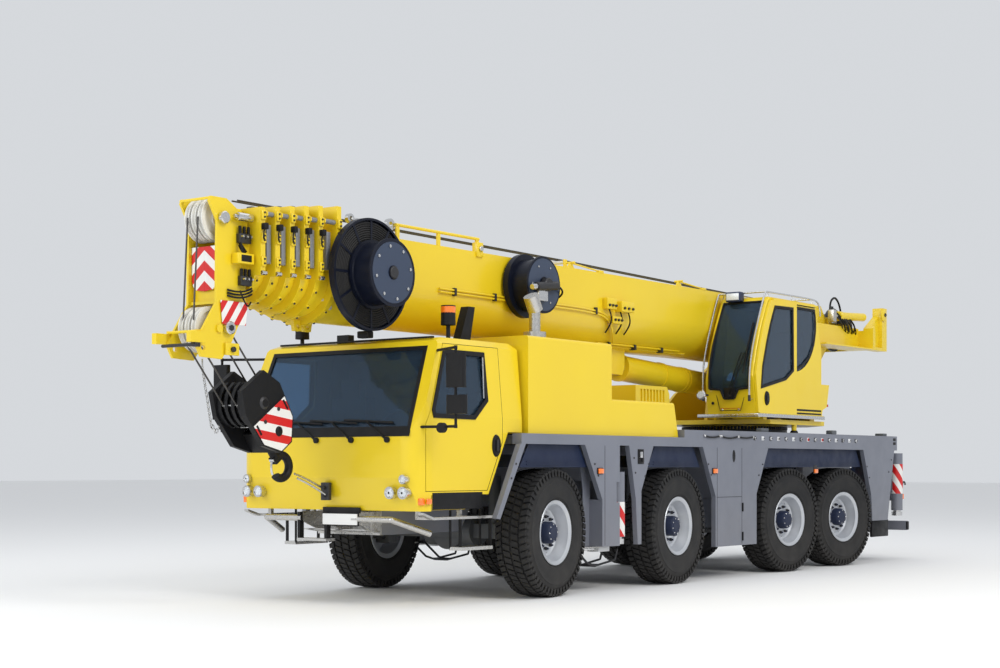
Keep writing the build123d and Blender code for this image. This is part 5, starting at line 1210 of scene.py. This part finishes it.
crew += [
    stub(0.485, 1.190, 5.100, 3.716, RAIL_R, bright_steel, 12),
    stub(0.520, 1.190, 6.470, 3.722, RAIL_R, bright_steel, 12),
    # work lamp on the roof's front edge
    block((0.631, 5.010, 3.600), (0.855, 5.130, 3.733), lamp_blue, 0.018, 3),
    block((0.650, 5.000, 3.622), (0.836, 5.012, 3.712), clear_lens),
    bar((0.743, 5.120, 3.640), (0.743, 5.200, 3.660), 0.016, dark_steel, 10),
    # round lamp by the rail's foot
    turned([(0.0, 0.0), (0.002, 0.050), (0.014, 0.066), (0.034, 0.058), (0.056, 0.024), (0.056, 0.0)],
           (0.470, 4.632, 2.352), Y_AXIS, bright_steel, 32),
    bar((0.470, 4.629, 2.352), (0.470, 4.634, 2.352), 0.046, clear_lens, 28),
    bar((0.480, 4.686, 2.352), (0.530, 4.760, 2.352), 0.012, dark_steel, 10),
]
fit_out("crane_cab_rails", crew, "crane_cab")

# %% Sill, flap and bands on the crane cab's walls
WALL_X = 1.2125                    # just outside the cab's left wall
wall = [
    block((0.345, 4.762, 2.052), (1.262, 4.781, 2.098), bright_steel, 0.006),
    block((1.2505, 4.765, 2.052), (1.2640, 6.705, 2.098), bright_steel, 0.006),
    stub(0.70, 1.01, 4.748, 2.168, 0.003, red_lens, 6),
    bar((0.600, 4.740, 2.240), (0.600, 4.724, 2.240), 0.020, black_trim, 12),
    block((1.180, 6.905, 2.240), (1.205, 6.935, 2.275), red_lens),
]
flap = [(0.640, 2.372), (0.700, 2.140), (1.010, 2.140), (1.075, 2.372)]
for (x0, z0), (x1, z1) in zip(flap[:-1], flap[1:]):
    wall.append(bar((x0, 4.744, z0), (x1, 4.752, z1), 0.004, black_trim, 6))
for x in (0.735, 0.975):
    wall.append(bar((x, 4.756, 2.150), (x, 4.742, 2.150), 0.016, bright_steel, 12))
REAR_PANE = [(5.902, 2.690), (5.902, 3.580), (6.500, 3.580), (6.520, 3.330), (6.478, 3.085), (6.340, 2.900),
             (6.130, 2.775)]
wall.append(ring_frame([(WALL_X, y, z) for y, z in REAR_PANE], 0.034, 0.0020, black_trim))
for y0, y1, z0, z1, thick in ((5.940, 6.690, 2.118, 2.138, 0.0020), (5.940, 6.690, 2.160, 2.186, 0.0020),
                              (5.950, 6.480, 3.596, 3.602, 0.0025)):
    wall.append(block((WALL_X, y0, z0), (WALL_X + thick, y1, z1), black_trim, 0.0))
fit_out("crane_cab_trim", wall, "crane_cab")

# %% The sliding door's band and pull
DOOR_WINDOW = [(5.235, 3.541), (5.772, 3.552), (5.784, 2.690), (5.560, 2.560), (4.845, 2.420), (4.885, 2.720),
               (4.985, 3.010), (5.105, 3.290)]
PULL_Z = 2.300
reface("crane_cab_door", cab_pane, within(DOOR_WINDOW))
pull = turned([(0.0, 0.0), (0.010, 0.0), (0.006, 0.034), (0.016, 0.040), (0.016, 0.056), (0.0, 0.062)],
              (1.250, 5.010, PULL_Z), X_AXIS, black_trim, 32)
slide = [
    ring_frame([(1.2505, y, z) for y, z in DOOR_WINDOW], 0.038, 0.0055, black_trim),
    stretched(pull, PULL_Z, 1.55),
    block((1.262, 4.995, 2.255), (1.274, 5.025, 2.345), dark_steel),
]
fit_out("crane_cab_door_trim", slide, "crane_cab_door")

# %% [markdown]
# ## The slewing ring and the lock pin
# The upper works turn on a big toothed ring. Its teeth are on the fixed half, outside, so they belong to
# the carrier. One tooth is shaped and copied round by rotation. A yellow post with a black foot locks the
# upper works when it drives.

# %% Teeth of the ring and the lock post
SLEW_CENTRE = (0, 6.400, 0)
teeth = copied_round(block((0.722, -0.016, 1.918), (0.748, 0.016, 1.962), dark_steel, 0.006, 1), 96, axis="Z")
for tooth in teeth:
    tooth.data.transform(Matrix.Translation(SLEW_CENTRE))
race = [(1.8505, 0.700), (1.8505, 0.742), (1.917, 0.742), (1.917, 0.700)]
teeth.append(turned(race, SLEW_CENTRE, Z_AXIS, dark_steel, 96))
fit_out("slewing_teeth", teeth, "carrier")
post = [
    block((1.110, 5.940, 1.972), (1.178, 6.060, 2.028), yellow, 0.008),
    bar((1.145, 6.000, 1.890), (1.145, 6.000, 1.975), 0.036, yellow, 20),
    bar((1.145, 6.000, 1.853), (1.145, 6.000, 1.892), 0.060, black_trim, 24, tip=0.045),
]
fit_out("lock_post", post, "superstructure")

# %% [markdown]
# ## Along the carrier
# The carrier's sides are plain sheet between the wheels, and what makes them read as a machine is small:
# amber side markers, the seams and hinges of the lockers, a row of hose couplings under the deck's edge,
# bolts round the arches and the red and white sleeves of the jacks. The same row stands on both sides, so
# one loop places it for each side.

# %% Markers, seams, hinges and bolts
FACE_X = 1.375                     # the side panels' face


def on_face(side, thick, y, z, material, wear=0.004, lift=0.0):
    """A block on a side panel: how far it stands out, and pairs of numbers along Y and Z."""
    return side_block(side, (FACE_X + lift, FACE_X + thick), y, z, material, wear)


ARCH_BOLTS = [
    # y and z of bolt heads round the wheel arches
    (-0.720, 1.430), (-0.800, 1.280), (0.750, 1.430), (0.820, 1.300), (1.560, 1.500), (1.590, 1.330),
    (1.880, 1.430), (1.800, 1.290), (3.260, 1.430), (3.330, 1.300), (4.660, 1.430), (4.560, 1.290),
    (7.840, 1.400), (7.920, 1.240), (8.690, 1.500), (8.600, 1.320),
]
SEAMS = [
    # y and z of the locker's and the panels' seams
    ((4.108, 4.113), (0.420, 1.635)), ((3.470, 4.111), (1.017, 1.023)), ((3.478, 3.483), (0.420, 1.635)),
    ((0.953, 0.958), (0.520, 1.635)),
]
GRIP_Z = 1.533
grip_hole = [(0.0, 0.0), (0.002, 0.0), (0.004, 0.024), (0.004, 0.032), (0.0, 0.036)]
liner = [(7.800, 1.180), (7.800, 1.700), (8.420, 1.700), (8.420, 1.060)]
for side_name, side in SIDES:
    grip = turned(grip_hole, (side * FACE_X, 3.903, GRIP_Z), (side, 0, 0), black_trim, 24)
    trim = [
        # the marker over the third and fourth wheel hangs on the mudguard
        side_block(side, (1.296, 1.306), (6.270, 6.372), (1.300, 1.420), dark_steel, 0.003),
        side_block(side, (1.306, 1.326), (6.271, 6.371), (1.310, 1.366), amber_lens, 0.006),
        # socket box
        on_face(side, 0.006, (1.640, 1.766), (1.430, 1.600), black_trim, 0.003),
        on_face(side, 0.030, (1.664, 1.712), (1.500, 1.572), bright_steel, 0.006, lift=0.004),
        on_face(side, 0.022, (1.718, 1.750), (1.452, 1.500), dark_steel, lift=0.004),
        # oval grip hole of the locker
        stretched(grip, GRIP_Z, 2.2),
        # liner that closes the rear wheel's arch behind the last panel
        plate([(side * 1.150, y, z) for y, z in liner], side * 0.006, guard, wear=0.001),
    ]
    for y, z in ((0.854, 1.351), (3.411, 1.345)):
        trim.append(on_face(side, 0.010, (y - 0.058, y + 0.058), (z - 0.036, z + 0.036), black_trim, 0.003))
        along, up = (y - 0.050, y + 0.050), (z - 0.028, z + 0.028)
        trim.append(on_face(side, 0.026, along, up, amber_lens, 0.006, lift=0.008))
    trim += [on_face(side, 0.0015, y, z, black_trim, 0) for y, z in SEAMS]
    trim += [on_face(side, 0.014, (4.112, 4.136), (z - 0.055, z + 0.055), black_trim) for z in (0.886, 0.518)]
    trim += [stub(FACE_X, FACE_X + 0.008, y, z, 0.011, dark_steel, 8, side) for y, z in ARCH_BOLTS]
    # two slots at the deck's rear corner
    for z in (1.742, 1.800):
        trim.append(on_face(side, 0.003, (8.760, 8.850), (z - 0.020, z + 0.020), black_trim, 0.001))
    fit_out(f"side_trim_{side_name}", trim, "carrier")

# %% Couplings under the deck's edge
ROW_Z, HOSE_Z = 1.765, 1.778
HOSES = [
    # y of its two ends, and its sag
    (3.150, 3.520, 0.035), (3.560, 3.980, 0.045), (4.000, 4.380, 0.030),
]
for side_name, side in SIDES:
    row = []
    for index in range(15):
        y = 4.450 + index * 0.215
        # two caps take the red lens finish and glow faintly: a painted glow on parts that are no lamps
        cap = red_lens if index in (7, 9) else (coupling_white if index % 3 else bright_steel)
        base = coupling_white if index % 2 else dark_steel
        row += [stub(FACE_X, FACE_X + 0.020, y, ROW_Z, 0.019, cap, 14, side),
                stub(FACE_X + 0.018, FACE_X + 0.027, y, ROW_Z, 0.010, dark_steel, 8, side),
                on_face(side, 0.004, (y - 0.030, y + 0.030), (ROW_Z - 0.026, ROW_Z + 0.026), base, 0.001)]
    for y0, y1, sag in HOSES:
        hose = [(side * (FACE_X + 0.014), y0, HOSE_Z), (side * (FACE_X + 0.018), (y0 + y1) / 2, HOSE_Z - sag),
                (side * (FACE_X + 0.014), y1, HOSE_Z)]
        row.append(pipe(hose, 0.011, black_trim))
        row += [stub(FACE_X, FACE_X + 0.026, y, HOSE_Z, 0.017, bright_steel, 10, side) for y in (y0, y1)]
    fit_out(f"couplings_{side_name}", row, "carrier")

# %% [markdown]
# The jacks' sleeves wear red and white bands. The front sleeve is striped over its lower half, the rear one
# over its middle. Each band is a thin turned shell just over the sleeve, and it rides out with the
# outrigger's beam.

# %% Jack sleeves, and the gear at the tail
SLEEVES = [
    # outrigger, y, foot and top of its stripes
    ("front", 1.358, 0.604, 0.999),
    ("rear", 9.120, 0.992, 1.437),
]
for end, y, low, high in SLEEVES:
    for side_name, side in SIDES:
        shell = [(low, 0.0862), (low, 0.0885), (high, 0.0885), (high, 0.0862)]
        band = turned(shell, (side * 1.276, y, 0), Z_AXIS, board_jack, 40)
        fit_out(f"jack_band_{end}_{side_name}", [band], f"outrigger_{end}_{side_name}")
for side_name, side in SIDES:
    hose = [(1.255, 9.345, 1.030), (1.262, 9.350, 1.140), (1.262, 9.395, 1.178), (1.262, 9.450, 1.165),
            (1.262, 9.462, 1.120)]
    tail = [
        side_block(side, (1.270, 1.310), (8.160, 8.740), (0.365, 0.620), black_trim, 0.012),
        side_block(side, (1.150, 1.250), (9.388, 9.404), (0.915, 1.025), red_lens, 0.006),
        side_block(side, (1.020, 1.140), (9.388, 9.402), (0.915, 1.025), clear_lens, 0.006),
        side_block(side, (0.910, 1.010), (9.388, 9.402), (0.915, 1.025), amber_lens, 0.006),
        side_block(side, (1.252, 1.276), (9.335, 9.392), (0.905, 0.985), amber_lens, 0.006),
        side_block(side, (1.286, 1.312), (9.424, 9.496), (0.436, 0.564), black_trim, 0.008),
        pipe([(side * x, y, z) for x, y, z in hose], 0.012, black_trim, bend=4),
    ]
    fit_out(f"tail_gear_{side_name}", tail, "carrier")

# %% Step under the panels, and boxes on the deck
STEP_FRAME = [(0.640, 0.500), (0.900, 0.320), (1.060, 0.278), (1.470, 0.330), (1.520, 0.450)]
STEP_X, STEP_IN_X = 1.17, 0.97
DECK_TOP = 1.8502
gear = []
for side in (-1, 1):
    for x in (STEP_X, STEP_IN_X):
        for (y0, z0), (y1, z1) in zip(STEP_FRAME[:-1], STEP_FRAME[1:]):
            gear.append(bar((side * x, y0, z0), (side * x, y1, z1), 0.013, dark_steel, 10))
    gear += [
        stub(STEP_X, STEP_IN_X, *STEP_FRAME[0], 0.013, dark_steel, 10, side),
        stub(STEP_X, STEP_IN_X, *STEP_FRAME[2], 0.013, dark_steel, 10, side),
        side_block(side, (0.98, 1.16), (0.980, 1.140), (0.282, 0.298), dark_steel),
        side_block(side, (1.06, 1.26), (0.560, 1.240), (0.492, 0.506), stainless),
        side_block(side, (1.10, 1.26), (1.000, 1.230), (0.440, 0.494), coupling_white, 0.010),
        side_block(side, (1.12, 1.24), (0.700, 0.960), (0.462, 0.494), bright_steel, 0.008),
        side_block(side, (1.27, 1.37), (6.720, 6.860), (DECK_TOP, 1.905), axle_paint, 0.010),
        side_block(side, (1.20, 1.33), (8.500, 8.640), (DECK_TOP, 1.890), axle_paint, 0.008),
        side_block(side, (1.26, 1.34), (4.700, 4.900), (DECK_TOP, 1.900), axle_paint, 0.008),
    ]
fit_out("deck_boxes", gear, "carrier")

# %% [markdown]
# ## Hook block
# The block hangs tilted, tied back to the cab. Its cheeks carry a warning plate, the sheaves are guarded by
# rods that keep the rope in its grooves, and the hook has a sprung latch. Everything is drawn upright about
# the block's pin and leaned by one matrix, which is also how a drawing of the block would be used.

# %% Plates, rope guards and latch
HOOK_PLACE = Matrix.Translation((0, -3.230, 2.010)) @ Matrix.Rotation(math.radians(36), 4, "X")
CHEEK_X, BOARD_X = 0.2305, 0.2355  # faces of the block's cheek and of the board on it
hook_board = [(-0.248, -0.100), (0.262, -0.100), (0.236, -0.322), (0.082, -0.505), (-0.082, -0.505),
              (-0.236, -0.322)]
eye_ring = [(0.0, 0.0), (0.012, 0.0), (0.012, 0.030), (0.004, 0.046), (0.0, 0.050)]
pin_head = [(0.0, 0.0), (0.014, 0.0), (0.014, 0.040), (0.0, 0.062)]
hook = []
for side in (1, -1):
    hook += [
        plate([(side * CHEEK_X, y, z) for y, z in hook_board], side * 0.005, board_hook, wear=0.001),
        turned(eye_ring, (side * BOARD_X, 0.0, -0.330), (side, 0, 0), black_trim, 24),
        turned(pin_head, (side * CHEEK_X, 0.0, 0.0), (side, 0, 0), dark_steel, 28),
        side_block(side, (CHEEK_X, 0.2340), (-0.238, 0.255), (-0.094, -0.080), black_trim, 0.001),
    ]
    hook += [stub(BOARD_X, 0.243, y, -0.150, 0.020, dark_steel, 12, side) for y in (-0.10, 0.12)]
    for y in (-0.215, 0.225):
        along = (y - 0.012, y + 0.012)
        hook.append(side_block(side, (BOARD_X, 0.2390), along, (-0.225, -0.115), black_trim, 0.002))
# curved cover over the sheaves, in strips between the rope slots, and the rods that keep the rope in
for x0, x1 in ((-0.168, -0.112), (-0.064, -0.024), (0.024, 0.064), (0.112, 0.168)):
    for step in range(7):
        a0, a1 = math.radians(-35 + step * 18), math.radians(-35 + (step + 1) * 18)
        outline = [(0.236, a0), (0.236, a1), (0.246, a1), (0.246, a0)]
        strip = [(x0, -radius * math.cos(angle), radius * math.sin(angle)) for radius, angle in outline]
        hook.append(plate(strip, x1 - x0, black_trim, wear=0))
for angle in (-60, -140, 100):
    y, z = 0.226 * math.sin(math.radians(angle)), 0.226 * math.cos(math.radians(angle))
    hook.append(stub(-0.170, 0.170, y, z, 0.010, bright_steel, 10))
hook.append(stub(-0.030, 0.030, -0.045, -0.640, 0.020, bright_steel, 14))
hook.append(pipe([(0.0, -0.050, -0.640), (0.0, -0.115, -0.690), (0.0, -0.128, -0.760)], 0.012, bright_steel))
for part in hook:
    part.data.transform(HOOK_PLACE)
fit_out("hook_fittings", hook, "hook")

# %% The tie rods on the cab, and the chain under the head
tie = []
for x, z0, z1 in ((0.030, 1.190, 1.330), (0.085, 1.120, 1.285)):
    rod = [(x, -2.225, z0), (x * 0.9, -2.420, (z0 + z1) / 2 + 0.02), (x * 0.7, -2.600, z1)]
    tie.append(pipe(rod, 0.012, bright_steel))
fit_out("tie_rods", tie, "carrier")


LINK_LONG, LINK_WIDE, LINK_THICK = 0.040, 0.024, 0.0045


def chain_link(place, turn):
    """One oval link, standing upright and turned about its own length."""
    deselect_all()
    bpy.ops.mesh.primitive_torus_add(major_segments=12, minor_segments=6, major_radius=LINK_WIDE / 2,
                                     minor_radius=LINK_THICK)
    link = bpy.context.object
    upright = Matrix.Scale(LINK_LONG / LINK_WIDE, 4, (0, 0, 1)) @ Matrix.Rotation(math.radians(90), 4, "X")
    link.data.transform(Matrix.Translation(place) @ Matrix.Rotation(math.radians(turn), 4, "Z") @ upright)
    return coat(link, bright_steel)


CHAIN_X = -0.190
links = [bar((CHAIN_X, -3.640, 2.350), (CHAIN_X, -3.640, 2.430), 0.008, bright_steel, 8)]
for index in range(20):
    links.append(chain_link((CHAIN_X, -3.640 + index * 0.006, 2.345 - index * 0.029), 90 * (index % 2)))
for index in range(4):
    place = (CHAIN_X, -3.505 + index * 0.026, 1.780 - 0.018 * index * (3 - index))
    links.append(chain_link(place, 90 * (index % 2) + 30))
fit_out("head_chain", links, "telescope_6")

# %% [markdown]
# ## The tail
# Behind the crane cab the winch, its valves and hoses sit between the plates that carry the ballast. A
# looped hose, a valve bank and a few pipes are enough to fill the frame the way it looks from the road.

# %% Hoses and valves at the tail
big_loop = [(8.200, 3.700), (8.180, 3.840), (8.300, 3.935), (8.420, 3.930), (8.540, 3.820), (8.580, 3.660)]
tail_parts = [
    pipe([(0.62, y, z) for y, z in big_loop], 0.016, black_trim, bend=4),
    block((0.52, 8.060, 3.210), (0.62, 8.420, 3.470), yellow, 0.010),
]
tail_parts += valve_bank((0.565, 8.290, 3.640), 3, 0.062, stainless)
tail_parts += valve_bank((0.565, 8.520, 3.640), 5, 0.062)
for index in range(6):
    y = 7.700 + index * 0.22
    hose = [(0.600, y, 3.212), (0.628, y + 0.12, 3.300 + 0.02 * (index % 3)), (0.600, y + 0.26, 3.250),
            (0.570, y + 0.40, 3.380)]
    tail_parts.append(pipe(hose, 0.012, black_trim if index % 2 else yellow))
for z in (3.260, 3.310):
    tail_parts.append(pipe([(0.645, 7.600, z), (0.645, 8.400, z), (0.645, 9.050, z + 0.02)], 0.011, yellow))
for index in range(9):
    hose = [(0.640 + 0.012 * (index % 3), 8.240 + 0.050 * index, 3.700),
            (0.760 + 0.018 * (index % 4), 8.420 + 0.055 * index, 3.560 - 0.030 * (index % 3)),
            (0.600 + 0.030 * (index % 3), 8.640 + 0.045 * index, 3.420)]
    tail_parts.append(pipe(hose, 0.010 + 0.003 * (index % 2), black_trim if index % 3 else dark_steel))
print("hoses and valves:", len(tail_parts), "parts")

# %% Guard plates beside the winch, rams and the round heads of the end posts
guard_line = [(7.620, 3.430), (7.620, 3.700), (7.760, 3.790), (8.100, 3.790), (8.230, 3.640), (9.080, 3.640),
              (9.080, 3.430)]
post_head = [(0.0, 0.0), (0.0, 0.092), (0.016, 0.100), (0.026, 0.078), (0.030, 0.0)]
hole_ring = [(0.0, 0.0), (0.0, 0.068), (0.012, 0.080), (0.020, 0.060), (0.024, 0.0)]
RAM = [
    # x, y and z of its two ends, radius, finish, sides: rod, gland and barrel
    ((0.650, 8.230, 3.650), (0.655, 8.400, 3.657), 0.034, bright_steel, 20),
    ((0.655, 8.400, 3.657), (0.660, 8.490, 3.660), 0.074, yellow, 28),
    ((0.660, 8.480, 3.660), (0.700, 9.180, 3.690), 0.062, yellow, 28),
]
for side in (-1, 1):
    tail_parts.append(plate([(side * 0.506, y, z) for y, z in guard_line], side * 0.014, yellow))
    for y in (7.700, 7.900, 8.300, 8.700, 9.020):
        along = (y - 0.012, y + 0.012)
        tail_parts.append(side_block(side, (0.520, 0.560), along, (3.440, 3.625), yellow, 0.003))
    for (x0, y0, z0), (x1, y1, z1), radius, material, sides in RAM:
        tail_parts.append(bar((side * x0, y0, z0), (side * x1, y1, z1), radius, material, sides))
    tail_parts.append(side_block(side, (0.600, 0.700), (8.160, 8.260), (3.560, 3.740), stainless, 0.008, 3))
    for y in (8.180, 8.235):
        tail_parts.append(bar((side * 0.640, y, 3.735), (side * 0.640, y, 3.790), 0.016, dark_steel, 10))
    tail_parts.append(turned(post_head, (side * 0.900, 9.470, 3.735), (side, 0, 0), yellow, 32))
    tail_parts.append(stub(0.926, 0.946, 9.470, 3.735, 0.030, dark_steel, 6, side))
    tail_parts.append(turned(hole_ring, (side * 0.500, 7.750, 3.200), (side, 0, 0), dark_steel, 32))
fit_out("tail_hoses", tail_parts, "superstructure")

# %% [markdown]
# ## Size and finish
# The CAD model's size is the real one, and the box round the dressed crane is printed.
# The dressed crane may not grow past the CAD model, because its size is the real one.

# %% Print the dressed crane's box
low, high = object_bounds()
print("visual box:", [round(v, 3) for v in (*low, *high)])
